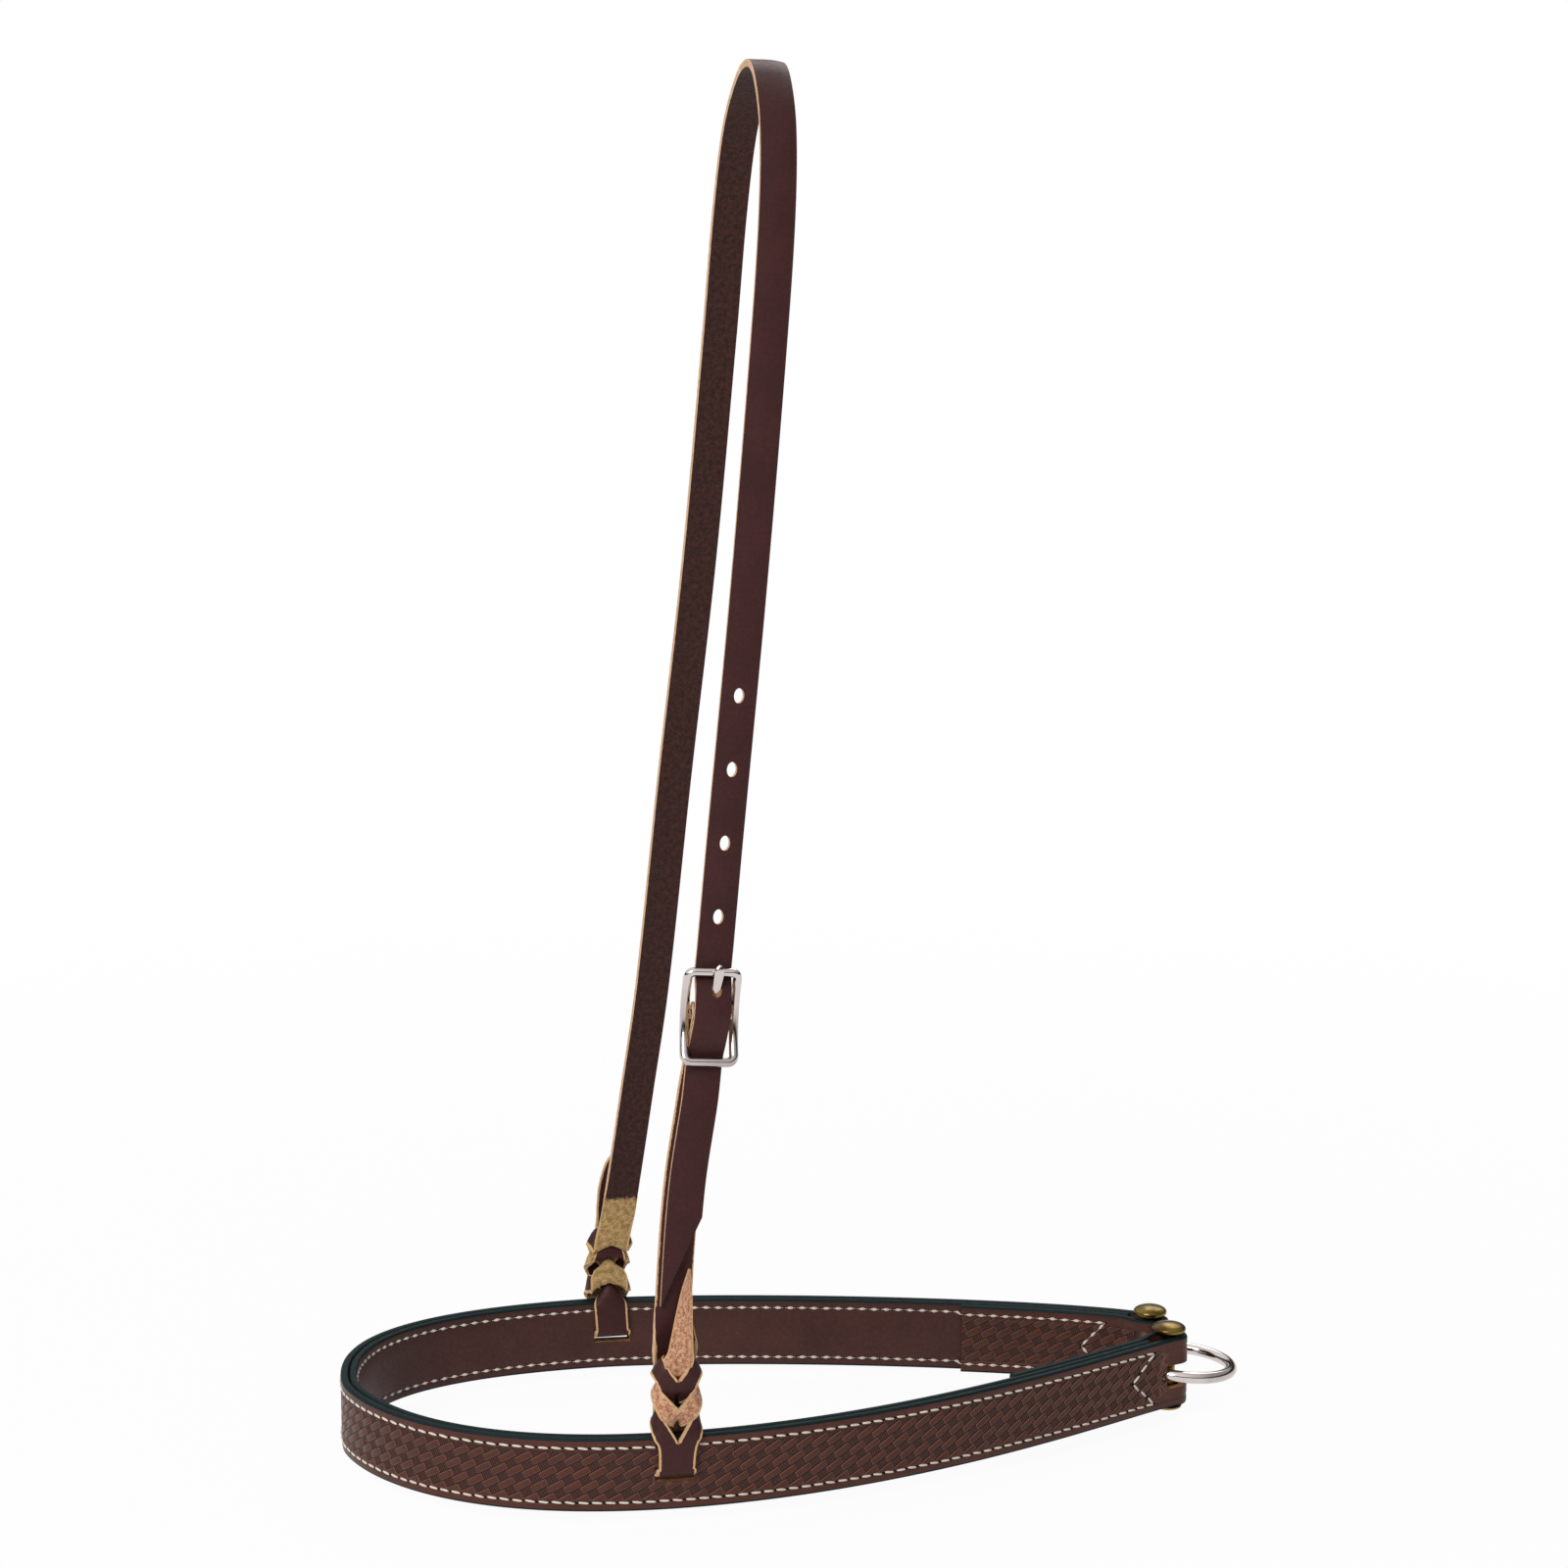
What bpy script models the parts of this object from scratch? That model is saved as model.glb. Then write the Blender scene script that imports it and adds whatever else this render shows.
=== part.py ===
"""A leather noseband with a chin ring, hung from a buckled strap that goes over the horse's head.

Metres, +Z up. X runs from the front of the nose (-) to the chin ring (+). -Y is the near side, with the
buckle. The origin is the middle of the underside of the strap at the crown, which holds the part up.
Each dimension below is in millimetres, and a height is measured up from the noseband's lower edge.
"""

import math

import bmesh
import bpy
from mathutils import Matrix, Vector

MM = 0.001
BAND_BOTTOM = -469.4  # the noseband's lower edge, below the underside of the crown
GAP = 0.3  # air left between two pieces that lie together

# Noseband
BAND_HIGH = 25.4
OUTER_THICK = 2.8
LINING_THICK = 2.6
BAND_THICK = OUTER_THICK + GAP + LINING_THICK
NOSE = (-148.6, 1.1)  # the point of the plan outline at the front of the nose
NEAR_WIDEST = (-41.9, -77.4)
FAR_WIDEST = (-50.2, 74.4)
NOSE_HANDLES = (13.2, 47.4)  # how flat the nose is, towards the near and the far side
NEAR_HANDLES = (90.0, 87.7)  # the near side's fullness, towards the nose and towards the ring
FAR_HANDLES = (68.1, 49.5)
END_HANDLES = (18.5, 33.9)
END_SLOPES = (0.28, 0.80)  # radians inwards of the near and far side where they reach their posts
LINING_SHORT = 10.5  # how far before the post the lining stops
FOLD_BACK = 74.0  # length of outer strap that comes back along the lining from the post
FOLD_SETTLE = 14.0  # distance in which the folded end closes on the lining

# Posts and ring
POST_X = (145.0, 144.3)  # near and far
FOLD_BEYOND = 1.4  # how far the folded end stands off its post
POST_Y = 10.0
BARREL_R = 2.4
BORE_R = 1.7
SHANK_R = 1.4
HEAD_R = 6.05
HEAD_DOME = 3.2
FOOT_R = 5.0
FOOT_DROP = 0.6  # the screw's head is this far below the leather
HEAD_LIFT = 1.3  # barrel that shows between the leather and the head
RING_X = 153.2
RING_Y = 0.3
RING_H = 11.0
RING_MEAN_R = 18.0
RING_WIRE_R = 2.1
RING_HANGS = math.radians(5.5)
RING_HINGE_X = 138.8  # where the ring's wire lies behind the posts
NOTCH_LOW = 7.2
NOTCH_HIGH = 15.7
NOTCH_BACK = (6.8, 8.2)  # reach of the notch past the post in the outer layer, near and far
NOTCH_RETURN = 10.0  # the same in the layer that comes back

# Hanger
STRAP_HALF = 5.9
STRAP_THICK = 2.5
KNOT_THICK = 1.6  # the leather is pressed thinner in the knots
SLOT_LOW = 10.0
SLOT_HIGH = 14.6
SLOT_WIDE = 13.2
THREAD_H = 12.8  # height of the strap's middle in the slot
THREAD_R = 2.1
NEAR_ROUTE = (  # (x, half width, height) up the near leg to the crown
    (-46.5, 74.5, 8.0),
    (-45.8, 74.5, 27.0),
    (-45.6, 74.3, 40.0),
    (-45.3, 72.9, 52.0),
    (-44.6, 71.1, 64.0),
    (-40.4, 65.7, 106.0),
    (-33.6, 61.3, 145.0),
    (-24.2, 53.0, 223.0),
    (-15.2, 46.6, 301.0),
    (-7.6, 42.6, 380.0),
    (-4.0, 39.0, 422.0),
    (-2.0, 31.0, 449.5),
    (-0.6, 15.0, 466.0),
)
FAR_ROUTE = (
    (-43.1, 71.5, 8.0),
    (-44.2, 71.5, 26.0),
    (-44.5, 71.4, 37.0),
    (-43.3, 71.0, 48.0),
    (-40.6, 70.2, 60.0),
    (-34.0, 65.3, 106.0),
    (-28.9, 61.3, 145.0),
    (-21.8, 53.0, 223.0),
    (-13.8, 46.6, 301.0),
    (-7.0, 42.6, 380.0),
    (-4.0, 39.0, 422.0),
    (-2.0, 31.0, 449.5),
    (-0.6, 15.0, 466.0),
)
CROWN_H = -BAND_BOTTOM + STRAP_THICK / 2
ACROSS = Vector((0.996, 0.0, -0.09))  # the way across the strap where it goes over the crown

# Bleed knot: the strap goes down outside the band, in through its slot, up inside, and each leg then
# passes through a slit in the other. A row is (height, then for the leg that is outside at the band:
# distance outwards from the band's middle, half opening of its slit, how far it is cupped in radians,
# and the same three for the leg that is inside at the band).
KNOT = (
    (16, 4.7, 0.0, 0.00, -4.7, 0.0, 0.00),
    (20, 4.7, 0.0, 0.00, -4.7, 0.0, 0.00),
    (23.5, 5.2, 0.0, 0.00, -5.3, 0.0, 0.13),
    (26.5, 4.5, 1.4, 0.05, -4.5, 0.0, 0.50),
    (29.6, 0.0, 4.2, 0.96, 1.1, 0.0, 1.26),
    (32.6, -2.9, 3.7, 1.14, 4.6, 0.0, 1.16),
    (35.6, -1.8, 0.0, 1.20, 3.4, 2.6, 0.94),
    (38.6, 1.9, 0.0, 1.23, 0.1, 4.6, 0.96),
    (41.6, 4.8, 0.0, 1.17, -2.7, 3.7, 1.05),
    (44.6, 4.2, 2.0, 1.05, -2.0, 0.0, 1.14),
    (47.6, 1.6, 4.1, 1.04, 0.6, 0.0, 1.20),
    (50.6, -1.2, 4.7, 1.00, 3.3, 0.0, 1.22),
    (53.6, -3.0, 2.9, 0.83, 4.8, 0.0, 1.15),
    (56.6, -3.0, 0.0, 0.57, 4.7, 0.0, 0.81),
    (60, -2.2, 0.0, 0.26, 3.9, 0.0, 0.36),
    (64, -1.4, 0.0, 0.00, 2.9, 0.0, 0.00),
    (82, -1.4, 0.0, 0.00, 3.6, 0.0, 0.00),
)
KNOT_TOP = 64.0
KNOT_PULL = (26.5, 0.77)  # the table's knot is loose: above this height the real one is pulled tighter
SQUEEZE = (  # (height, near, far): how much narrower the knots are than that loose one
    (18, 1.0, 1.0),
    (27, 1.0, 0.94),
    (36, 0.96, 0.92),
    (46, 0.93, 0.93),
    (57, 1.0, 1.0),
)
NEAR_TAIL = (  # (height, stand-off beyond the knot's, sideways, half width): cut to a long point
    (52, 0.0, 0.0, 5.9),
    (56, 0.0, 0.4, 4.9),
    (61, 0.0, 0.7, 3.9),
    (67, 0.0, 0.8, 2.9),
    (73, 0.0, 0.9, 1.9),
    (80.5, 0.0, 1.0, 0.6),
)
FAR_TAIL = (  # the same for the far leg: a rounded tongue that stands away
    (54, 0.0, 0.0, 5.9),
    (60, 1.4, -1.9, 5.0),
    (68, 2.9, -2.7, 4.6),
    (74, 3.5, -2.4, 4.1),
    (77.5, 3.6, -2.1, 3.2),
    (79.5, 3.6, -2.0, 1.4),
)
KNOT_STEP = 1.2

# Buckle, its billet and the fold that holds it
BAR_H = 162.5
BAR_R = 1.4
FOLD_R = BAR_R + 0.45 + STRAP_THICK / 2
FRAME_R = 1.6
FRAME_HALF = (8.3, 14.8)
FRAME_ASIDE = 0.25  # the frame sits a little towards the ring
FRAME_TURN = math.radians(1.0)  # and a little more upright than the strap
FRAME_CORNER = 3.2
FRAME_BOW = 3.6  # the end bars stand this far outside the bar in the middle
TURN_BACK_H = 146.0
BILLET_ROUTE = (  # (height, distance outwards from the leg's line)
    (60, 1.4),
    (132, 1.4),
    (147.3, -0.2),
    (155, 3.0),
    (162.5, 6.0),
    (170.4, 2.6),
    (178, -0.3),
    (192, 0.0),
    (480, 0.0),
)
CHEEK_ROUTE = (
    (60, -1.4),
    (132, -1.4),
    (147.3, -3.0),
    (155, -0.2),
    (162.5, FOLD_R),
)
FAR_SETTLE = ((64, -1.4), (110, 0.0))  # the far leg comes back onto its line above the knot
TURN_ROUTE = ((TURN_BACK_H, -6.0), (152.0, -4.8), (162.5, -FOLD_R))
BILLET_SHORT = 71.0  # height of the point of the billet's slanting end
BILLET_LONG = 97.5  # height of the slant's other end
HOLE_H = 170.9
HOLE_PITCH = 24.0
HOLES = 5
HOLE_HALF = (1.7, 2.5)
USED_HOLE_HALF = (2.7, 4.8)
TONGUE_ASIDE = 0.9
TONGUE_WIDE = 3.2
TONGUE_THICK = 1.6
TONGUE_SLOT = (2.2, 5.5, 5.0)  # half width, and reach below and above the bar
EYE_R = BAR_R + GAP + TONGUE_THICK / 2
TONGUE_ROUTE = ((2.65, 1.6), (3.0, 4.4), (3.5, 7.3), (4.95, 11.2), (6.4, 14.6), (6.6, 17.6))


def clear_scene():
    for obj in list(bpy.data.objects):
        bpy.data.objects.remove(obj, do_unlink=True)


def new_collection(name, shown=True):
    made = bpy.data.collections.new(name)
    bpy.context.scene.collection.children.link(made)
    made.hide_render = not shown
    return made


def new_material(name, colour, roughness, metallic):
    made = bpy.data.materials.new(name)
    made.use_nodes = True
    shader = made.node_tree.nodes["Principled BSDF"]
    shader.inputs["Base Color"].default_value = (*colour, 1.0)
    shader.inputs["Roughness"].default_value = roughness
    shader.inputs["Metallic"].default_value = metallic
    return made


def new_object(name, mesh, collection, material=None, at=None):
    made = bpy.data.objects.new(name, mesh)
    collection.objects.link(made)
    if material:
        mesh.materials.append(material)
    if at:
        made.location = at * MM
    return made


def point(x, y, height):
    return Vector((x, y, BAND_BOTTOM + height))


def eased(table, column, at):
    """The value of a column at a height: a curve through the table's rows that never overshoots them."""
    if at <= table[0][0]:
        return table[0][column]
    if at >= table[-1][0]:
        return table[-1][column]
    steps = [b[0] - a[0] for a, b in zip(table, table[1:])]
    slopes = [(b[column] - a[column]) / s for a, b, s in zip(table, table[1:], steps)]
    bends = [slopes[0]]
    for before, after, left, right in zip(slopes, slopes[1:], steps, steps[1:]):
        weights = (2 * right + left, right + 2 * left)
        same_way = before * after > 0
        bends.append(sum(weights) / (weights[0] / before + weights[1] / after) if same_way else 0.0)
    bends.append(slopes[-1])
    i = max(k for k in range(len(steps)) if table[k][0] <= at)
    t = (at - table[i][0]) / steps[i]
    return (
        (1 + 2 * t) * (1 - t) ** 2 * table[i][column]
        + t * (1 - t) ** 2 * steps[i] * bends[i]
        + t * t * (3 - 2 * t) * table[i + 1][column]
        - t * t * (1 - t) * steps[i] * bends[i + 1]
    )


def smooth_route(corners, spacing):
    """Points about this far apart on a smooth curve through the corners. The first and last only steer it."""
    found = []
    for before, start, end, after in zip(corners, corners[1:], corners[2:], corners[3:]):
        length = (end - start).length
        leave = (end - before) * length / (length + (start - before).length)
        arrive = (after - start) * length / (length + (after - end).length)
        count = max(1, round(length / spacing))
        for k in range(count):
            t = k / count
            found.append(
                start * (1 + 2 * t) * (1 - t) ** 2
                + leave * t * (1 - t) ** 2
                + end * t * t * (3 - 2 * t)
                - arrive * t * t * (1 - t)
            )
    found.append(corners[-2])
    return found


class Station:
    """One place along a strap: its middle, the way across it and out of it, and how it is cut and bent."""

    def __init__(self, middle, across, out, half, slit=0.0, cup=0.0, full=1.0, squeeze=1.0):
        self.middle = middle
        self.across = across
        self.out = out
        self.half = half
        clear = KNOT_THICK / 2 * math.sin(cup) + 0.1
        self.slit = slit if slit > clear else 0.0
        self.cup = cup
        self.full = full
        self.squeeze = squeeze

    def place(self, column, side):
        sideways = (column * self.half * math.cos(self.cup) + side * self.slit) * self.squeeze
        return self.middle + self.across * sideways - self.out * abs(column) * self.half * math.sin(self.cup)


def strap(name, stations, thick, thin, collection, material):
    """A strap as it is made: a flat strip, slit along its middle, then bent to its stations."""
    last = len(stations) - 1
    bm = bmesh.new()
    bmesh.ops.create_grid(bm, x_segments=2, y_segments=last, size=1.0)

    def row(vert):
        return round((vert.co.y + 1) / 2 * last)

    slits = [
        edge
        for edge in bm.edges
        if all(abs(v.co.x) < 0.1 for v in edge.verts) and any(stations[row(v)].slit for v in edge.verts)
    ]
    bmesh.ops.split_edges(bm, edges=slits)
    where = {}
    for vert in bm.verts:
        column = round(vert.co.x)
        middles = [face.calc_center_median().x for face in vert.link_faces]
        lean = sum(middles) / len(middles)
        side = column or (0 if abs(lean) < 0.01 else math.copysign(1, lean))
        where[vert] = (row(vert), column, side)
    weights = {}
    for vert, (at, column, side) in where.items():
        vert.co = stations[at].place(column, side) * MM
        weights[vert] = stations[at].full
    bm.verts.index_update()
    full = [(vert.index, weights[vert]) for vert in bm.verts]
    mesh = bpy.data.meshes.new(name)
    bm.to_mesh(mesh)
    bm.free()
    made = new_object(name, mesh, collection, material)
    group = made.vertex_groups.new(name="full_thickness")
    for index, weight in full:
        group.add([index], weight, "REPLACE")
    skin = made.modifiers.new("Thickness", "SOLIDIFY")
    skin.thickness = thick * MM
    skin.offset = 0.0
    skin.use_even_offset = True
    skin.vertex_group = group.name
    skin.thickness_vertex_group = thin / thick
    return made


def cut(target, cutter, operation="DIFFERENCE"):
    modifier = target.modifiers.new(cutter.name, "BOOLEAN")
    modifier.operation = operation
    modifier.solver = "EXACT"
    modifier.object = cutter
    cutter.hide_render = True
    cutter.display_type = "WIRE"


def block(name, frame, low, high, collection):
    """A box between two corners given in a local frame."""
    bm = bmesh.new()
    bmesh.ops.create_cube(bm, size=1.0)
    size = Vector(high) - Vector(low)
    middle = (Vector(high) + Vector(low)) / 2
    for vert in bm.verts:
        spread = Vector((vert.co.x * size.x, vert.co.y * size.y, vert.co.z * size.z))
        vert.co = (frame @ (middle + spread)) * MM
    if bm.calc_volume(signed=True) < 0:
        bmesh.ops.reverse_faces(bm, faces=bm.faces)
    mesh = bpy.data.meshes.new(name)
    bm.to_mesh(mesh)
    bm.free()
    return new_object(name, mesh, collection)


def oval_punch(name, frame, half_wide, half_long, collection):
    """A round punch, stretched along the strap, whose length is the frame's second axis."""
    bm = bmesh.new()
    bmesh.ops.create_cone(bm, cap_ends=True, segments=16, radius1=1.0, radius2=1.0, depth=12.0)
    for vert in bm.verts:
        x, y, z = vert.co
        vert.co = (frame @ Vector((x * half_wide, z, -y * half_long))) * MM
    if bm.calc_volume(signed=True) < 0:
        bmesh.ops.reverse_faces(bm, faces=bm.faces)
    mesh = bpy.data.meshes.new(name)
    bm.to_mesh(mesh)
    bm.free()
    return new_object(name, mesh, collection)


def mesh_from_curve(curve, name):
    """The mesh of a curve, with its caps welded on, in place of the curve."""
    bpy.context.view_layer.update()
    evaluated = curve.evaluated_get(bpy.context.evaluated_depsgraph_get())
    mesh = bpy.data.meshes.new_from_object(evaluated)
    mesh.transform(curve.matrix_world)
    bpy.data.objects.remove(curve, do_unlink=True)
    bm = bmesh.new()
    bm.from_mesh(mesh)
    bmesh.ops.remove_doubles(bm, verts=bm.verts, dist=1e-6)
    bm.to_mesh(mesh)
    bm.free()
    mesh.name = name
    return mesh


def swept_wire(name, points, radius, closed, collection):
    data = bpy.data.curves.new(name, "CURVE")
    data.dimensions = "3D"
    data.bevel_depth = radius * MM
    data.bevel_resolution = 2
    data.use_fill_caps = True
    spline = data.splines.new("POLY")
    spline.points.add(len(points) - 1)
    for node, co in zip(spline.points, points):
        node.co = (*(co * MM), 1.0)
    spline.use_cyclic_u = closed
    curve = bpy.data.objects.new(name, data)
    collection.objects.link(curve)
    return mesh_from_curve(curve, name)


def turned(name, profile, steps, at, collection, material):
    """A turned piece: its half outline spun round the vertical axis."""
    mesh = bpy.data.meshes.new(name)
    count = len(profile)
    mesh.from_pydata([(r * MM, 0.0, z * MM) for r, z in profile], [(i, i + 1) for i in range(count - 1)], [])
    made = new_object(name, mesh, collection, material, at)
    screw = made.modifiers.new("Turn", "SCREW")
    screw.steps = steps
    screw.render_steps = steps
    screw.use_merge_vertices = True
    screw.merge_threshold = 0.00001
    return made


def bezier_points(start, leave, arrive, end, count):
    found = []
    for k in range(count):
        t = k / count
        found.append(
            start * (1 - t) ** 3 + leave * 3 * t * (1 - t) ** 2 + arrive * 3 * t * t * (1 - t) + end * t**3
        )
    return found


def post_frame(side):
    """Middle of a post, the way the strap runs to it, and the way out of the band there. Side -1 is near."""
    slope = END_SLOPES[0] if side < 0 else END_SLOPES[1]
    middle = Vector((POST_X[side > 0], side * POST_Y, 0))
    along = Vector((math.cos(slope), -side * math.sin(slope), 0))
    out = Vector((math.sin(slope), side * math.cos(slope), 0))
    return middle, along, out


def band_outline():
    """The noseband's outer face in plan, from the near post to the far one, as (point, way out) pairs."""
    fold_out = BARREL_R + GAP + OUTER_THICK
    near_post, near_along, near_out = post_frame(-1)
    far_post, far_along, far_out = post_frame(1)
    near_end = near_post + near_along * FOLD_BEYOND + near_out * fold_out
    far_end = far_post + far_along * FOLD_BEYOND + far_out * fold_out
    nose = Vector((*NOSE, 0))
    near = Vector((*NEAR_WIDEST, 0))
    far = Vector((*FAR_WIDEST, 0))
    x, y = Vector((1, 0, 0)), Vector((0, 1, 0))
    leaving = near_end - near_along * END_HANDLES[0]
    fine = bezier_points(near_end, leaving, near + x * NEAR_HANDLES[1], near, 400)
    fine += bezier_points(near, near - x * NEAR_HANDLES[0], nose - y * NOSE_HANDLES[0], nose, 400)
    fine += bezier_points(nose, nose + y * NOSE_HANDLES[1], far - x * FAR_HANDLES[0], far, 400)
    fine += bezier_points(far, far + x * FAR_HANDLES[1], far_end - far_along * END_HANDLES[1], far_end, 400)
    fine.append(far_end)
    return fine


def every(points, spacing):
    """Points this far apart along a fine polyline, with the way out at each."""
    lengths = [0.0]
    for a, b in zip(points, points[1:]):
        lengths.append(lengths[-1] + (b - a).length)
    count = round(lengths[-1] / spacing)
    found = []
    k = 0
    for i in range(count + 1):
        wanted = lengths[-1] * i / count
        while k < len(points) - 2 and lengths[k + 1] < wanted:
            k += 1
        a, b = points[k], points[k + 1]
        share = (wanted - lengths[k]) / (lengths[k + 1] - lengths[k])
        along = (b - a).normalized()
        found.append((wanted, a.lerp(b, share), Vector((-along.y, along.x, 0))))
    return found


def fold_depth(distance):
    """Depth below the outer face of the middle of the layer that comes back from the post."""
    settled = BAND_THICK + GAP + OUTER_THICK / 2
    at_post = 2 * (BARREL_R + GAP) + 1.5 * OUTER_THICK
    t = min(1.0, max(0.0, distance / FOLD_SETTLE - 0.35) / 0.65)
    return at_post + (settled - at_post) * t * t * (3 - 2 * t)


def band_stations(path):
    """Stations of a strap that stands on edge: its width is the noseband's height."""
    return [Station(point(p.x, p.y, BAND_HIGH / 2), Vector((0, 0, 1)), out, BAND_HIGH / 2) for p, out in path]


def outer_strap_path(outline):
    total = outline[-1][0]
    middle = [(p - out * OUTER_THICK / 2, out) for _, p, out in outline]
    near_back = [
        (p - out * fold_depth(s), -out)
        for s, p, out in reversed(outline)
        if 1.0 < s < FOLD_BACK
    ]
    far_back = [
        (p - out * fold_depth(total - s), -out)
        for s, p, out in reversed(outline)
        if 1.0 < total - s < FOLD_BACK
    ]
    radius = BARREL_R + GAP + OUTER_THICK / 2
    turns = 12
    near_post, near_along, near_out = post_frame(-1)
    far_post, far_along, far_out = post_frame(1)
    near_fold = []
    far_fold = []
    for k in range(turns):
        angle = math.pi * k / turns
        away = near_along * math.sin(angle) - near_out * math.cos(angle)
        near_fold.append((near_post + near_along * FOLD_BEYOND + away * radius, away))
        angle = math.pi * (k + 1) / turns
        away = far_along * math.sin(angle) + far_out * math.cos(angle)
        far_fold.append((far_post + far_along * FOLD_BEYOND + away * radius, away))
    return near_back + near_fold + middle + far_fold + far_back


def slot_frame(outline, x, side):
    """A frame on the noseband where a hanger leg crosses it: along the band, out of it, and up."""
    beside = [item for item in outline if item[1].y * side > 0 and item[1].x < POST_X[0] - 40]
    _, p, out = min(beside, key=lambda item: abs(item[1].x - x))
    along = Vector((0, 0, 1)).cross(out) * -1
    place = p - out * BAND_THICK / 2
    middle = point(place.x, place.y, 0) + along * ((x - p.x) / along.x)
    frame = Matrix((along, out, Vector((0, 0, 1)))).transposed().to_4x4()
    frame.translation = middle
    return frame


def make_noseband(shown, cutters, leather, lining_leather):
    outline = every(band_outline(), 6.0)
    outer = strap(
        "noseband_outer_strap",
        band_stations(outer_strap_path(outline)),
        OUTER_THICK,
        OUTER_THICK,
        shown,
        leather,
    )
    total = outline[-1][0]
    inside = [
        (p - out * (OUTER_THICK + GAP + LINING_THICK / 2), out)
        for s, p, out in outline
        if LINING_SHORT < s < total - LINING_SHORT
    ]
    lining = strap("noseband_lining", band_stations(inside), LINING_THICK, LINING_THICK, shown, lining_leather)
    for side, word, x in ((-1, "near", NEAR_ROUTE[0][0]), (1, "far", FAR_ROUTE[0][0])):
        frame = slot_frame(outline, x, side)
        slot = block(
            f"{word}_strap_slot",
            frame,
            (-SLOT_WIDE / 2, -9, SLOT_LOW),
            (SLOT_WIDE / 2, 9, SLOT_HIGH),
            cutters,
        )
        cut(outer, slot)
        cut(lining, slot)
        middle, along, out = post_frame(side)
        frame = Matrix((along, out, Vector((0, 0, 1)))).transposed().to_4x4()
        frame.translation = point(middle.x, middle.y, 0)
        back = NOTCH_BACK[0] if side < 0 else NOTCH_BACK[1]
        notch = block(f"{word}_ring_notch", frame, (-back, -12, NOTCH_LOW), (9, 8, NOTCH_HIGH), cutters)
        longer = block(
            f"{word}_return_notch",
            frame,
            (-NOTCH_RETURN, -12.5, NOTCH_LOW + 0.02),
            (-1, 0.9, NOTCH_HIGH - 0.02),
            cutters,
        )
        cut(outer, notch)
        cut(outer, longer)
    return outline


def make_posts(shown, cutters, brass):
    top = BAND_HIGH + HEAD_LIFT
    for side, word in ((-1, "near"), (1, "far")):
        at = point(POST_X[side > 0], side * POST_Y, 0)
        dome = [
            (HEAD_R * math.sin(a), top + 0.9 + (HEAD_DOME - 0.9) * math.cos(a))
            for a in (math.radians(15 * k) for k in range(7))
        ]
        barrel = [*dome, (HEAD_R, top + 0.4), (HEAD_R - 0.4, top), (BARREL_R, top), (BARREL_R, GAP - FOOT_DROP)]
        barrel += [(BORE_R, GAP - FOOT_DROP), (BORE_R, 12.0), (0.0, 12.0)]
        turned(f"{word}_post_barrel", barrel, 24, at, shown, brass)
        foot = [
            (FOOT_R * math.sin(a), -FOOT_DROP - 0.4 - 1.2 * math.cos(a))
            for a in (math.radians(90 - 18 * k) for k in range(6))
        ]
        shank = [(0.0, 9.5), (SHANK_R - 0.3, 9.5), (SHANK_R, 9.2)]
        shank += [(SHANK_R, -FOOT_DROP), (FOOT_R - 0.3, -FOOT_DROP)]
        shank += foot
        screw = turned(f"{word}_post_screw", shank, 24, at, shown, brass)
        frame = Matrix.Translation(at)
        driver = block(f"{word}_driver_slot", frame, (-8, -0.6, -FOOT_DROP - 3), (8, 0.6, -FOOT_DROP - 1), cutters)
        driver.data.transform(Matrix.Translation(-at * MM))
        driver.location = at * MM
        cut(screw, driver)


def make_ring(shown, nickel):
    """The chin ring, which rests at a slant behind both posts. Its origin is where it pivots there."""
    hinge_h = RING_H + (RING_X - RING_HINGE_X) * math.tan(RING_HANGS)
    hinge = point(RING_HINGE_X, RING_Y, hinge_h)
    bpy.ops.mesh.primitive_torus_add(
        major_segments=48, minor_segments=12, major_radius=RING_MEAN_R * MM, minor_radius=RING_WIRE_R * MM
    )
    ring = bpy.context.active_object
    ring.name = "chin_ring"
    for collection in list(ring.users_collection):
        collection.objects.unlink(ring)
    shown.objects.link(ring)
    slant = Matrix.Rotation(RING_HANGS, 4, "Y")
    ring.data.transform(Matrix.Translation((point(RING_X, RING_Y, RING_H) - hinge) * MM) @ slant)
    ring.location = hinge * MM
    ring.data.name = "chin_ring"
    ring.data.materials.append(nickel)


def leg_points(route, side, spacing):
    """The smooth line of a leg from its lowest corner to the crown."""
    corners = [point(x, side * half, height) for x, half, height in route]
    crown = point(0, 0, CROWN_H)
    beyond = Vector((corners[-1].x, -corners[-1].y, corners[-1].z))
    below = corners[0] * 2 - corners[1]
    return smooth_route([below, *corners, crown, beyond], spacing)


def at_height(line, height):
    """The point of a leg's line at a height."""
    z = BAND_BOTTOM + height
    for a, b in zip(line, line[1:]):
        if a.z <= z <= b.z:
            return a.lerp(b, (z - a.z) / (b.z - a.z))
    return line[0]


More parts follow.
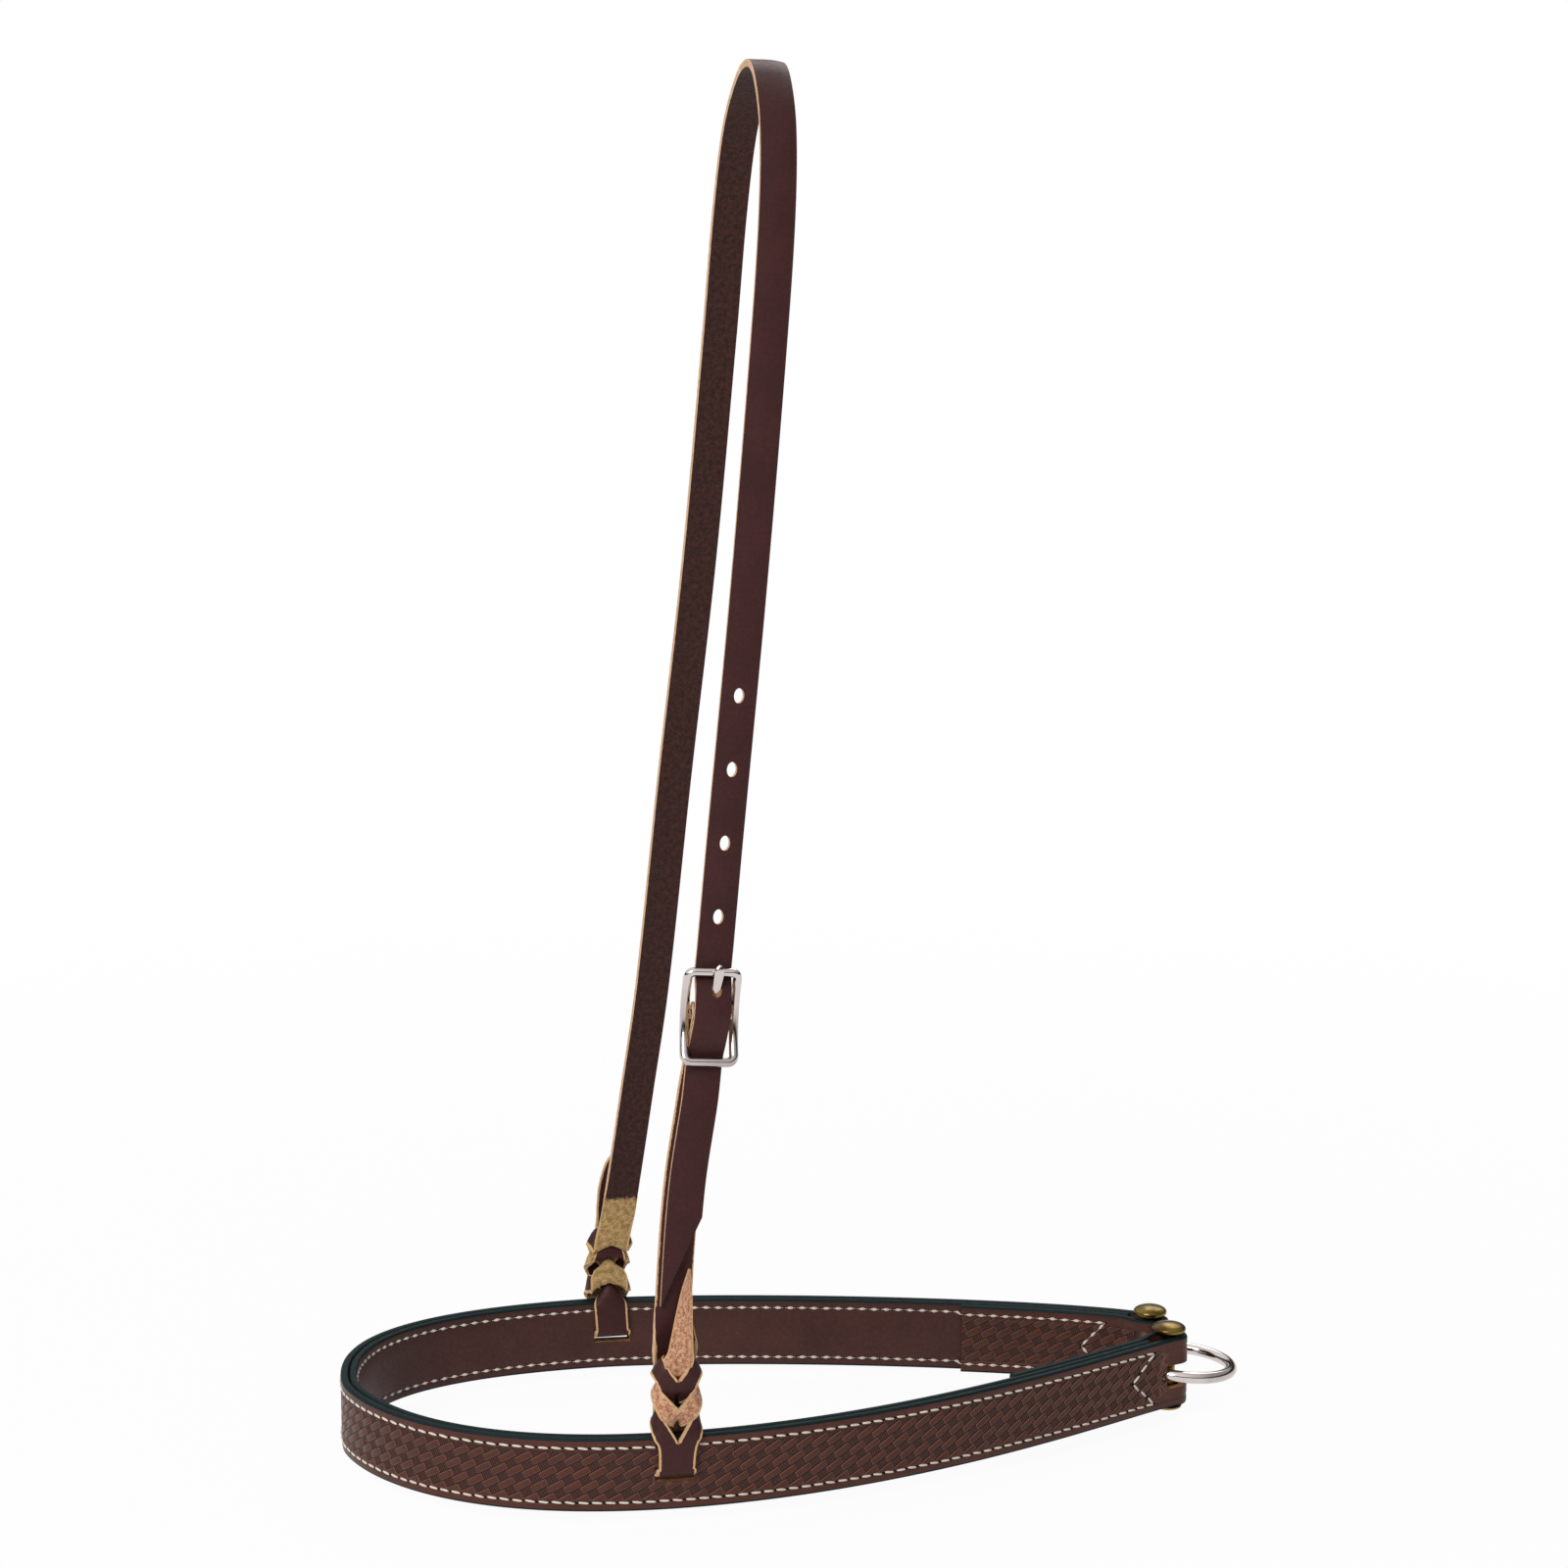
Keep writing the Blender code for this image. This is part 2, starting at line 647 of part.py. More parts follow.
def knot_stations(line, side, column):
    """The stations of one leg of a knot, going up. Column 1 is the leg outside at the band, 4 the other."""
    out = Vector((0, side, 0))
    found = []
    start = THREAD_H + THREAD_R
    tail = NEAR_TAIL if side < 0 else FAR_TAIL
    top = KNOT_TOP if column == 1 else tail[-1][0]
    count = round((top - start) / KNOT_STEP)
    for k in range(count + 1):
        height = start + (top - start) * k / count
        above = max(0.0, height - KNOT_PULL[0])
        row = height - above + above / KNOT_PULL[1]
        away = eased(KNOT, column, row)
        half = STRAP_HALF
        aside = 0.0
        if column == 4:
            away += eased(tail, 1, height)
            aside = eased(tail, 2, height)
            half = eased(tail, 3, height)
        middle = at_height(line, height) + out * away + Vector((aside, 0, 0))
        full = max(0.0, (height - 56) / (KNOT_TOP - 56)) if column == 1 else 0.0
        slit, cup = eased(KNOT, column + 1, row), eased(KNOT, column + 2, row)
        squeeze = eased(SQUEEZE, 1 if side < 0 else 2, height)
        found.append(Station(middle, Vector((1, 0, 0)), out, half, slit, cup, full, squeeze))
    return found


def thread_stations(line, side):
    """The strap's way in through the noseband's slot, from outside to inside."""
    out = Vector((0, side, 0))
    reach = KNOT[0][1]
    lowest = at_height(line, THREAD_H)
    found = []
    for sign in (1, -1):
        for k in range(5):
            angle = math.radians(15 + 18.75 * k) if sign > 0 else math.radians(90 - 18.75 * k)
            away = sign * (reach - THREAD_R + THREAD_R * math.cos(angle))
            height = THREAD_H + THREAD_R * (1 - math.sin(angle))
            middle = Vector((lowest.x, lowest.y, BAND_BOTTOM + height)) + out * away
            found.append(Station(middle, Vector((1, 0, 0)), out, STRAP_HALF, full=0.0))
    return found


def leg_station(line, k, away):
    """A station of a leg or of the crown, moved outwards from its line."""
    tangent = (line[min(k + 1, len(line) - 1)] - line[max(k - 1, 0)]).normalized()
    across = (ACROSS - tangent * tangent.dot(ACROSS)).normalized()
    out = across.cross(tangent)
    return Station(line[k] + out * away, across, out, STRAP_HALF)


def leg_frame(line, height):
    """A frame on the near leg: across the strap, out of it and up along it."""
    middle = at_height(line, height)
    along = (at_height(line, height + 3) - at_height(line, height - 3)).normalized()
    across = (ACROSS - along * along.dot(ACROSS)).normalized()
    frame = Matrix((across, across.cross(along), along)).transposed().to_4x4()
    frame.translation = middle
    return frame


def local_station(frame, out, up, half=STRAP_HALF):
    """A station whose middle is given in the buckle's frame."""
    return Station(frame @ Vector((0, out, up)), frame.col[0].xyz, frame.col[1].xyz, half)


def make_crown_strap(near, far, shown, cutters, leather):
    """The long strap: from its knot on the far side over the crown, down to its pointed end in the buckle."""
    stations = []
    for k in range(len(near)):
        height = near[k].z - BAND_BOTTOM
        if height < BILLET_SHORT - 2:
            continue
        near_buckle = 128 < height < 196
        if not near_buckle and k % 4 and height < 400 or k % 2 and height > 400:
            continue
        stations.append(leg_station(near, k, eased(BILLET_ROUTE, 1, height)))
    downwards = list(reversed(far))
    for k in range(2, len(downwards)):
        height = downwards[k].z - BAND_BOTTOM
        if height < KNOT_TOP + 3:
            break
        if k % 4 == 0 or k % 2 == 0 and height > 400:
            stations.append(leg_station(downwards, k, eased(FAR_SETTLE, 1, height)))
    stations += reversed(knot_stations(far, 1, 1))
    stations += thread_stations(far, 1)
    stations += knot_stations(far, 1, 4)
    made = strap("crown_strap", stations, STRAP_THICK, KNOT_THICK, shown, leather)
    for k in range(HOLES):
        frame = leg_frame(near, HOLE_H + HOLE_PITCH * k)
        half = HOLE_HALF if k else USED_HOLE_HALF
        tilt = 1.0 if k else 0.0
        if not tilt:
            aside = Matrix.Translation((TONGUE_ASIDE, 3.1, -2.3))
            frame = frame @ aside @ Matrix.Rotation(math.radians(22), 4, "X")
        cut(made, oval_punch(f"billet_hole_{k + 1}", frame, *half, cutters))
    low = at_height(near, BILLET_SHORT) - Vector((STRAP_HALF, 0, 0))
    high = at_height(near, BILLET_LONG) + Vector((STRAP_HALF, 0, 0))
    slant = (high - low).normalized()
    away = Vector((0, 1, 0)).cross(slant).normalized()
    frame = Matrix((slant, Vector((0, 1, 0)), away)).transposed().to_4x4()
    frame.translation = low
    corner = block("billet_slant", frame, (-20, -12, 0), (60, 12, 30), cutters)
    cut(made, corner)
    return made


def make_cheek_strap(near, shown, cutters, leather):
    """The short strap: from its knot on the near side up behind the billet, and round the buckle's bar."""
    stations = list(reversed(knot_stations(near, -1, 4)))
    thread = thread_stations(near, -1)
    stations += reversed(thread)
    stations += knot_stations(near, -1, 1)
    for k in range(len(near)):
        height = near[k].z - BAND_BOTTOM
        if KNOT_TOP + 2 < height < 130 and k % 3 == 0 or 130 <= height < BAR_H - 1:
            stations.append(leg_station(near, k, eased(CHEEK_ROUTE, 1, height)))
    bar = leg_frame(near, BAR_H)
    for k in range(13):
        angle = math.pi * k / 12
        stations.append(local_station(bar, FOLD_R * math.cos(angle), FOLD_R * math.sin(angle)))
    for k in range(1, 7):
        height = BAR_H + (TURN_BACK_H - BAR_H) * k / 6
        stations.append(local_station(bar, eased(TURN_ROUTE, 1, height), height - BAR_H))
    made = strap("cheek_strap", stations, STRAP_THICK, KNOT_THICK, shown, leather)
    half, below, above = TONGUE_SLOT
    low = (TONGUE_ASIDE - half, -9, -below)
    high = (TONGUE_ASIDE + half, 9, above)
    cut(made, block("tongue_slot", bar, low, high, cutters))
    return made


def make_buckle(near, shown, cutters, nickel):
    """A bowed wire frame with a bar across its middle. Its origin is on the bar."""
    bar = leg_frame(near, BAR_H)
    outline = []
    for sx, sz, start in ((1, 1, 0), (-1, 1, 90), (-1, -1, 180), (1, -1, 270)):
        for k in range(5):
            angle = math.radians(start + 22.5 * k)
            x = sx * (FRAME_HALF[0] - FRAME_CORNER) + FRAME_CORNER * math.cos(angle)
            z = sz * (FRAME_HALF[1] - FRAME_CORNER) + FRAME_CORNER * math.sin(angle)
            outline.append((x, z))
        if sx * sz > 0:
            end = -sx * (FRAME_HALF[0] - FRAME_CORNER)
            outline.append(((x + end) / 2, z))
        else:
            outline += [(x, z * share) for share in (0.75, 0.4, 0.0, -0.4, -0.75)]
    points = [Vector((x, FRAME_BOW * (z / FRAME_HALF[1]) ** 2, z)) for x, z in outline]
    mesh = swept_wire("buckle_frame", points, FRAME_R, True, cutters)
    frame = new_object("buckle_frame", mesh, shown, nickel)
    ends = [Vector((-FRAME_HALF[0], 0, 0)), Vector((FRAME_HALF[0], 0, 0))]
    bar_mesh = swept_wire("buckle_middle_bar", ends, BAR_R, False, cutters)
    middle_bar = new_object("buckle_middle_bar", bar_mesh, cutters)
    turn = bar.to_3x3().to_4x4() @ Matrix.Rotation(FRAME_TURN, 4, "Y")
    middle = bar @ Vector((FRAME_ASIDE, 0, 0))
    for obj in (frame, middle_bar):
        obj.data.transform(turn)
        obj.data.flip_normals()
        obj.location = middle * MM
    cut(frame, middle_bar, "UNION")


def make_tongue(near, shown, nickel):
    """A flat tongue whose eye turns on the buckle's middle bar. Its origin is on that bar."""
    bar = leg_frame(near, BAR_H)
    turn = bar.to_3x3().to_4x4()
    eye = []
    for k in range(15):
        angle = math.radians(110 + 245 * k / 14)
        eye.append(Vector((0, EYE_R * math.cos(angle), EYE_R * math.sin(angle))))
    corners = [Vector((0, n, z)) for n, z in TONGUE_ROUTE]
    beyond = corners[-1] * 2 - corners[-2]
    rise = smooth_route([eye[-1], *corners, beyond], 1.8)
    path = eye + rise
    stations = []
    for k, p in enumerate(path):
        left = len(path) - 1 - k
        half = TONGUE_WIDE / 2 * (0.62 if left == 0 else 0.9 if left == 1 else 1.0)
        stations.append(Station(turn @ p, turn @ Vector((1, 0, 0)), turn @ Vector((0, 1, 0)), half))
    made = strap("buckle_tongue", stations, TONGUE_THICK, TONGUE_THICK, shown, nickel)
    made.location = (bar @ Vector((TONGUE_ASIDE, 0, 0))) * MM


def main():
    clear_scene()
    shown = new_collection("noseband")
    cutters = new_collection("cutters", shown=False)
    band_leather = new_material("band_leather", (0.16, 0.055, 0.045), 0.5, 0.0)
    lining_leather = new_material("lining_leather", (0.05, 0.022, 0.02), 0.6, 0.0)
    strap_leather = new_material("strap_leather", (0.07, 0.03, 0.025), 0.45, 0.0)
    brass = new_material("antique_brass", (0.35, 0.25, 0.10), 0.35, 1.0)
    nickel = new_material("satin_nickel", (0.55, 0.52, 0.49), 0.3, 1.0)
    near = leg_points(NEAR_ROUTE, -1, 2.5)
    far = leg_points(FAR_ROUTE, 1, 2.5)
    make_noseband(shown, cutters, band_leather, lining_leather)
    make_posts(shown, cutters, brass)
    make_ring(shown, nickel)
    make_crown_strap(near, far, shown, cutters, strap_leather)
    make_cheek_strap(near, shown, cutters, strap_leather)
    make_buckle(near, shown, cutters, nickel)
    make_tongue(near, shown, nickel)


main()
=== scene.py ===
# %% [markdown]
# # A tooled leather noseband on its hanger
#
# The object is a noseband of the kind that works a horse through pressure on its nose: a stiff double
# band, stamped with a basket weave and sewn all round, with a metal ring held by two screw posts under
# the chin. A narrow strap in two parts hangs it from the horse's head. It is tied on with a bleed knot
# on each side, and a small buckle on the near side sets its length.
#
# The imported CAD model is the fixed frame. It gives the size, the place and the joints of every piece,
# so this script starts by loading it, and then makes each piece again with the finish the real one has.

# %% Load the frame
import math
import random
from bisect import bisect_right

import bmesh
import bpy
from mathutils import Matrix, Vector


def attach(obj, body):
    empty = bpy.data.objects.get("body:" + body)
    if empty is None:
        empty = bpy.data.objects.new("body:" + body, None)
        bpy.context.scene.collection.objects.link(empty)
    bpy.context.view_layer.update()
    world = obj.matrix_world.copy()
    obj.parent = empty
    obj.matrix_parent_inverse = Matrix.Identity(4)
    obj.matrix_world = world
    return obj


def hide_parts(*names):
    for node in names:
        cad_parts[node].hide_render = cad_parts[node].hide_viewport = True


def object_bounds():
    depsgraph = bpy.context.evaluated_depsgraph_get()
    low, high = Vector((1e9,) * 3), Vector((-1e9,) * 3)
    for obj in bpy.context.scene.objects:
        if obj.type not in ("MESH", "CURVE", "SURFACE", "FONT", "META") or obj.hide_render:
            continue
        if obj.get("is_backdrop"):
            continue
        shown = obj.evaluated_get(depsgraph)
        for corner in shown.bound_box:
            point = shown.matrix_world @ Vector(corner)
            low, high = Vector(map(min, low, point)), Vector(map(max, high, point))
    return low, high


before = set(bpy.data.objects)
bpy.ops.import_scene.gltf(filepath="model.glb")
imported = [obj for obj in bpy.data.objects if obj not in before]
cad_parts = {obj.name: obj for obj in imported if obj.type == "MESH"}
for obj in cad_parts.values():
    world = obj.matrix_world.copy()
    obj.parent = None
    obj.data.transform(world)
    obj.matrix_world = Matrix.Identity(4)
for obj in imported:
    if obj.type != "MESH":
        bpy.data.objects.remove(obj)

cad_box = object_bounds()
MM = 0.001
BAND_BOTTOM = -469.4  # the noseband's lower edge, in mm below the underside of the crown
print("CAD box in mm:", [[round(n / MM, 1) for n in corner] for corner in cad_box])

# %% [markdown]
# ## The camera
#
# The photograph is taken from the near side, a little towards the nose, looking down by ten degrees.
# The place and the lens were worked out from the outline of the noseband, so the two pictures can be
# laid over each other. The camera comes first, because each later step is judged through it.

# %% The camera
lens = bpy.data.cameras.new("photo_camera")
lens.sensor_width = 36.0
lens.lens = 36.0 * 3803.13 / 1600  # the photograph is 1600 pixels wide and the lens sees 3803 pixels deep
lens.clip_start, lens.clip_end = 0.05, 60.0
camera = bpy.data.objects.new("photo_camera", lens)
bpy.context.scene.collection.objects.link(camera)
camera.location = Vector((-254.8, -1230.1, -19.5)) * MM
camera.rotation_euler = (math.radians(80), 0.0, math.radians(-12))
bpy.context.scene.camera = camera
print("field of view:", round(math.degrees(lens.angle), 2), "degrees")

# %% [markdown]
# ## Colours and nodes
#
# A colour read from a screen is an sRGB value, bent so that dark tones get more of its range. Shaders add
# up light, so they need linear values. Every colour below goes through the one function that unbends it.
#
# A material is a small graph of nodes. One helper adds a node, sets it and links it in a single line. A
# Recipe wraps the few nodes that nearly every material needs, so each one below reads like a list of
# ingredients: where a pattern lies, how large it is, and which two colours it goes between.


# %% A colour, a node and a recipe
def linear(code):
    """An sRGB hex colour as the linear colour that a shader works in."""
    parts = [int(code[k : k + 2], 16) / 255 for k in (1, 3, 5)]
    return (*(p / 12.92 if p <= 0.04045 else ((p + 0.055) / 1.055) ** 2.4 for p in parts), 1.0)


def add_node(tree, kind, inputs=None, **settings):
    """A node of this kind. Its inputs are sockets to link, or numbers and hex colours to set."""
    made = tree.nodes.new(kind)
    for name, value in settings.items():
        setattr(made, name, value)
    for socket, given in (inputs or {}).items():
        if isinstance(given, bpy.types.NodeSocket):
            tree.links.new(given, made.inputs[socket])
        else:
            made.inputs[socket].default_value = linear(given) if isinstance(given, str) else given
    return made


class Recipe:
    """A node tree, with the kinds of node that the recipes below use again and again."""

    def __init__(self, tree):
        self.tree = tree

    def flat(self):
        """A strap's own flat measures in millimetres, which its UV map carries."""
        return add_node(self.tree, "ShaderNodeUVMap", uv_map="flat").outputs[0]

    def place(self):
        """The place in space, in metres."""
        return add_node(self.tree, "ShaderNodeTexCoord").outputs["Object"]

    def carried(self, name):
        """A value that the mesh itself carries."""
        return add_node(self.tree, "ShaderNodeAttribute", attribute_name=name).outputs["Fac"]

    def noise(self, place, apart, detail=2.0, rough=0.5):
        """Clouds this far apart, in the units of the place."""
        inputs = {"Vector": place, "Scale": 1 / apart, "Detail": detail, "Roughness": rough}
        return add_node(self.tree, "ShaderNodeTexNoise", inputs).outputs[0]

    def span(self, source, low, high, at_low=0.0, at_high=1.0):
        """Stretches what lies between two values to lie between two others."""
        inputs = {0: source, 1: low, 2: high, 3: at_low, 4: at_high}
        return add_node(self.tree, "ShaderNodeMapRange", inputs).outputs[0]

    def math(self, operation, *inputs):
        return add_node(self.tree, "ShaderNodeMath", dict(enumerate(inputs)), operation=operation).outputs[0]

    def mix(self, share, under, over):
        """Between two colours."""
        inputs = {0: share, 6: under, 7: over}
        return add_node(self.tree, "ShaderNodeMix", inputs, data_type="RGBA").outputs[2]


class Finish(Recipe):
    """A material: its tree and its shader, with the shader's constant sockets set."""

    def __init__(self, name, **sockets):
        self.made = bpy.data.materials.new(name)
        self.made.use_nodes = True
        super().__init__(self.made.node_tree)
        self.shader = self.tree.nodes["Principled BSDF"]
        for socket, value in sockets.items():
            self.shader.inputs[socket.replace("_", " ")].default_value = value

    def done(self, colour, roughness=None, height=None, strength=0.0, depth=0.0):
        """Links the colour, the roughness and a bump of this depth in metres, and hands over the material."""
        sources = {"Base Color": colour, "Roughness": roughness}
        if height is not None:
            bump = {"Height": height, "Strength": strength, "Distance": depth}
            sources["Normal"] = add_node(self.tree, "ShaderNodeBump", bump).outputs[0]
        for socket, source in sources.items():
            if source is not None:
                self.tree.links.new(source, self.shader.inputs[socket])
        return self.made


print("mid grey #808080 is", round(linear("#808080")[0], 3), "in linear light")

# %% [markdown]
# ## The studio
#
# The photograph has a white ground and soft light from all round, as in a white tent. The world gives
# most of that light. One big softbox at the front left rounds the leather, and a second, weaker one from
# behind lights the painted edges. The ground is pale and takes the object's soft shadow.
#
# The white that the camera, the metal and the gloss see comes from Light Path, so it costs no light. A
# dark band low round the tent, like a photographer's black card, is there for the gloss alone: without a
# dark line to mirror, polished wire looks like white plastic. The tent is dimmer behind the ring, which
# is why the band darkens towards it.


# %% Floor, world and lamps
FLOOR_Z = -0.475
FLOOR_FADE = (0.5, 1.2, 0.94)  # the shadow shows inside the first radius, and is gone at the second
TENT = 0.48  # strength of the light from all round
CARD = (0.23, 0.07, 0.17)  # height of the dark band in the tent, and its half width, sharp and faded out
DIM_SIDE = (-0.1, 0.8, 0.45)  # the tent dims between these two directions along x, down to this share
KEY = ((-1.45, -1.6, 1.1), 42.0)
BACK = ((0.9, 1.5, 1.3), 12.0)
AIM = Vector((0, 0, -0.25))


def make_floor():
    bm = bmesh.new()
    bmesh.ops.create_circle(bm, cap_ends=True, segments=64, radius=14.0)
    bmesh.ops.translate(bm, vec=(0, 0, FLOOR_Z), verts=bm.verts)
    mesh = bpy.data.meshes.new("studio_floor")
    bm.to_mesh(mesh)
    bm.free()
    floor = bpy.data.objects.new("studio_floor", mesh)
    bpy.context.scene.collection.objects.link(floor)
    paper = Finish("pale_paper_floor", Roughness=0.9)
    paper.shader.inputs["Base Color"].default_value = linear("#f2f2f2")
    far = add_node(paper.tree, "ShaderNodeVectorMath", {0: paper.place()}, operation="LENGTH")
    fade = paper.span(far.outputs["Value"], *FLOOR_FADE, 1.0)
    ray = add_node(paper.tree, "ShaderNodeLightPath").outputs
    seen = paper.math("MAXIMUM", ray["Is Camera Ray"], ray["Is Glossy Ray"])
    seen = paper.math("MAXIMUM", seen, ray["Is Transmission Ray"])
    white = add_node(paper.tree, "ShaderNodeEmission", {"Color": (1, 1, 1, 1), "Strength": 1.0})
    inputs = {0: paper.math("MULTIPLY", seen, fade), 1: paper.shader.outputs[0], 2: white.outputs[0]}
    mixed = add_node(paper.tree, "ShaderNodeMixShader", inputs)
    paper.tree.links.new(mixed.outputs[0], paper.tree.nodes["Material Output"].inputs["Surface"])
    mesh.materials.append(paper.made)
    floor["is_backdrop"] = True


def make_world():
    world = bpy.data.worlds.new("white_tent")
    bpy.context.scene.world = world
    world.use_nodes = True
    sky = Recipe(world.node_tree)
    ray = add_node(sky.tree, "ShaderNodeLightPath").outputs
    seen = sky.math("MAXIMUM", ray["Is Camera Ray"], ray["Is Transmission Ray"])
    level = sky.span(seen, 0.0, 1.0, TENT, 1.0)
    way = add_node(sky.tree, "ShaderNodeTexCoord").outputs["Generated"]
    parts = add_node(sky.tree, "ShaderNodeSeparateXYZ", {0: way}).outputs
    beside = sky.math("ABSOLUTE", sky.math("SUBTRACT", parts["Z"], CARD[0]))
    card = sky.span(beside, *CARD[1:], -TENT, 1.0 - TENT)
    shiny = sky.math("MULTIPLY", ray["Is Glossy Ray"], card)
    low, high, least = DIM_SIDE
    dim = sky.math("MAXIMUM", sky.span(parts["X"], low, high, 1.0, least), seen)
    total = sky.math("MULTIPLY", sky.math("ADD", level, shiny), dim)
    backdrop = sky.tree.nodes["Background"].inputs
    backdrop["Color"].default_value = (1, 1, 1, 1)
    sky.tree.links.new(total, backdrop["Strength"])


def add_softbox(name, place, power):
    lamp = bpy.data.lights.new(name, "AREA")
    lamp.shape = "SQUARE"
    lamp.size = 1.2
    lamp.energy = power
    lamp_object = bpy.data.objects.new(name, lamp)
    bpy.context.scene.collection.objects.link(lamp_object)
    lamp_object.location = place
    lamp_object.rotation_euler = (AIM - Vector(place)).to_track_quat("-Z", "Y").to_euler()


make_floor()
make_world()
add_softbox("key_softbox", *KEY)
add_softbox("back_softbox", *BACK)
bpy.context.scene.view_settings.view_transform = "Standard"
print("floor at", round(FLOOR_Z / MM), "mm")

# %% [markdown]
# ## Leathers
#
# The band is bridle leather: cowhide tanned in bark liquor, dyed a chestnut brown through a drum, and
# waxed. The grain side is smooth with fine pores. The stamps press it down and burnish it darker. The
# recipe reads how deep a point was stamped, which each mesh carries as an attribute, and darkens it by
# that, partly for the burnish and partly as painted shade in the recesses, with a painted highlight on the
# rims of the slats. It adds a slow drift of colour, as one hide is never the same from flank to back.
#
# The strips carry their own flat measures in millimetres as a UV map, as if they were still on the
# bench. The patterns follow those, so they turn with the leather round each bend. A second attribute
# says where a knife left a raw edge, which shows as a pale and slightly ragged line.

# %% Grain leather
RAW_LINE = "#cfa775"


def grain_leather(name, light, dark, pressed, painted_rim_highlight, roughness, pore, shine):
    """Dyed and waxed grain leather. Its pores are this many millimetres apart."""
    hide = Finish(name, Specular_IOR_Level=shine)
    flat = hide.flat()
    fine = hide.noise(flat, 1.6, 4.0, 0.7)
    drift = hide.noise(flat, 18, 3.0, 0.6)
    body = hide.mix(hide.span(hide.math("ADD", drift, fine), 0.7, 1.3), light, dark)
    stamped = hide.carried("stamped")
    # Painted shade and highlight: deeper stamped points go towards the pressed colour, partly burnish and
    # partly shade, and the slats' rims go towards a lighter colour.
    highlight_share = hide.math("MULTIPLY", hide.span(stamped, 0.02, 0.35), hide.span(stamped, 0.4, 0.8, 1.0, 0.0))
    tooled_with_painted_light = hide.mix(highlight_share, hide.mix(stamped, body, pressed), painted_rim_highlight)
    ragged = hide.math("MULTIPLY_ADD", fine, 0.5, hide.carried("raw"))
    colour = hide.mix(hide.span(ragged, 0.78, 0.86), tooled_with_painted_light, RAW_LINE)
    gloss = hide.span(fine, 0.3, 0.7, roughness - 0.06, roughness + 0.08)
    inputs = {"Vector": flat, "Scale": 1 / pore, "Smoothness": 0.6}
    cells = add_node(hide.tree, "ShaderNodeTexVoronoi", inputs, feature="SMOOTH_F1")
    height = hide.math("ADD", fine, cells.outputs["Distance"])
    return hide.done(colour, gloss, height, 0.35, 0.00008)


# Chestnut bridle leather: a red brown that goes almost to chocolate deep in the stamps, partly burnish and
# partly painted shade, with a painted highlight on the rims of the slats, so the weave reads even where no
# light catches it.
tooled_bridle_leather = grain_leather(
    "tooled_bridle_leather", "#572f25", "#43241b", "#351e18", "#7e594c", 0.37, 0.72, 0.22
)
# The lining is the same hide, never stamped, so it stays smooth and takes broad highlights.
smooth_lining_leather = grain_leather(
    "smooth_lining_leather", "#4e2d28", "#3c221e", "#2c1815", "#4e2d28", 0.42, 0.8, 0.2
)
# The hanger is softer latigo leather: dark brown with a cool, waxy bloom.
waxed_latigo_leather = grain_leather(
    "waxed_latigo_leather", "#432221", "#341919", "#271516", "#4a2b2a", 0.48, 0.6, 0.19
)
print("grain leathers:", tooled_bridle_leather.name, smooth_lining_leather.name, waxed_latigo_leather.name)

# %% [markdown]
# The other side of the hide is flesh: loose fibre with a short nap, like suede. On the hanger it was
# dyed dark from end to end except in the knots, where the undyed colour of the hide shows. The border
# between the two is ragged, because dye creeps along the fibres.
#
# A cut edge shows the hide's layers as fine streaks along the strap, in raw tan. The band's edges are
# painted instead: burnished, and closed with a thin skin of acrylic.


# %% Flesh side, cut edges and painted edges
def flesh_leather(name, raw, raw_dark, dyed, dyed_dark):
    """The napped side of a strap: dyed, and raw where the strap's own attribute says so."""
    suede = Finish(name, Roughness=0.95, Specular_IOR_Level=0.15, Sheen_Weight=0.15, Sheen_Roughness=0.6)
    flat = suede.flat()
    nap = suede.noise(flat, 0.4, 4.0, 0.75)
    fibre = suede.math("ADD", nap, suede.noise(flat, 1.7, 3.0, 0.7))
    share = suede.span(fibre, 0.86, 1.14)
    undyed = suede.span(suede.math("ADD", suede.carried("undyed"), fibre), 1.3, 1.75)
    napped = suede.mix(undyed, suede.mix(share, dyed_dark, dyed), suede.mix(share, raw_dark, raw))
    frayed = suede.math("MULTIPLY_ADD", nap, 0.5, suede.carried("raw"))
    colour = suede.mix(suede.span(frayed, 0.78, 0.86), napped, RAW_LINE)
    return suede.done(colour, None, fibre, 0.8, 0.00025)


def cut_leather(name, light, dark, along):
    """A raw cut through the hide. Its fibres are streaks along this axis, 0.35 mm apart."""
    cut = Finish(name, Roughness=0.9, Specular_IOR_Level=0.2)
    spread = [1 / 0.00035] * 3
    spread[along] = 1 / 0.0025
    stretched = add_node(cut.tree, "ShaderNodeMapping", {0: cut.place(), "Scale": spread})
    streak = cut.noise(stretched.outputs[0], 1.0, 3.0)
    return cut.done(cut.mix(cut.span(streak, 0.35, 0.65), dark, light), None, streak, 0.7, 0.00015)


def painted_edge():
    """Edge paint over burnished fibre: almost black, blue green in the light, softly glossy."""
    paint = Finish("painted_band_edge", Specular_IOR_Level=0.1)
    brush = paint.noise(paint.place(), 0.004, 4.0)
    gloss = paint.span(brush, 0.3, 0.7, 0.45, 0.65)
    return paint.done(paint.mix(brush, "#0b1516", "#1a2c2e"), gloss, brush, 0.3, 0.0002)


# Near the camera the raw flesh is pinkish, and on the far leg it is more yellow.
near_flesh = flesh_leather("near_strap_flesh_side", "#deb38d", "#9c5942", "#45231b", "#220f0b")
far_flesh = flesh_leather("far_strap_flesh_side", "#c9a56e", "#896d42", "#45231b", "#220f0b")
# Cream where a blade went through it, and browner where a punch did, as that presses while it cuts.
raw_strap_edge = cut_leather("raw_cut_strap_edge", "#e2c2a2", "#b98c66", 2)
raw_slot_wall = cut_leather("raw_punched_slot_wall", "#bd8c62", "#7f5136", 0)
band_edge_paint = painted_edge()
print("strap sides:", near_flesh.name, far_flesh.name, raw_strap_edge.name, band_edge_paint.name)

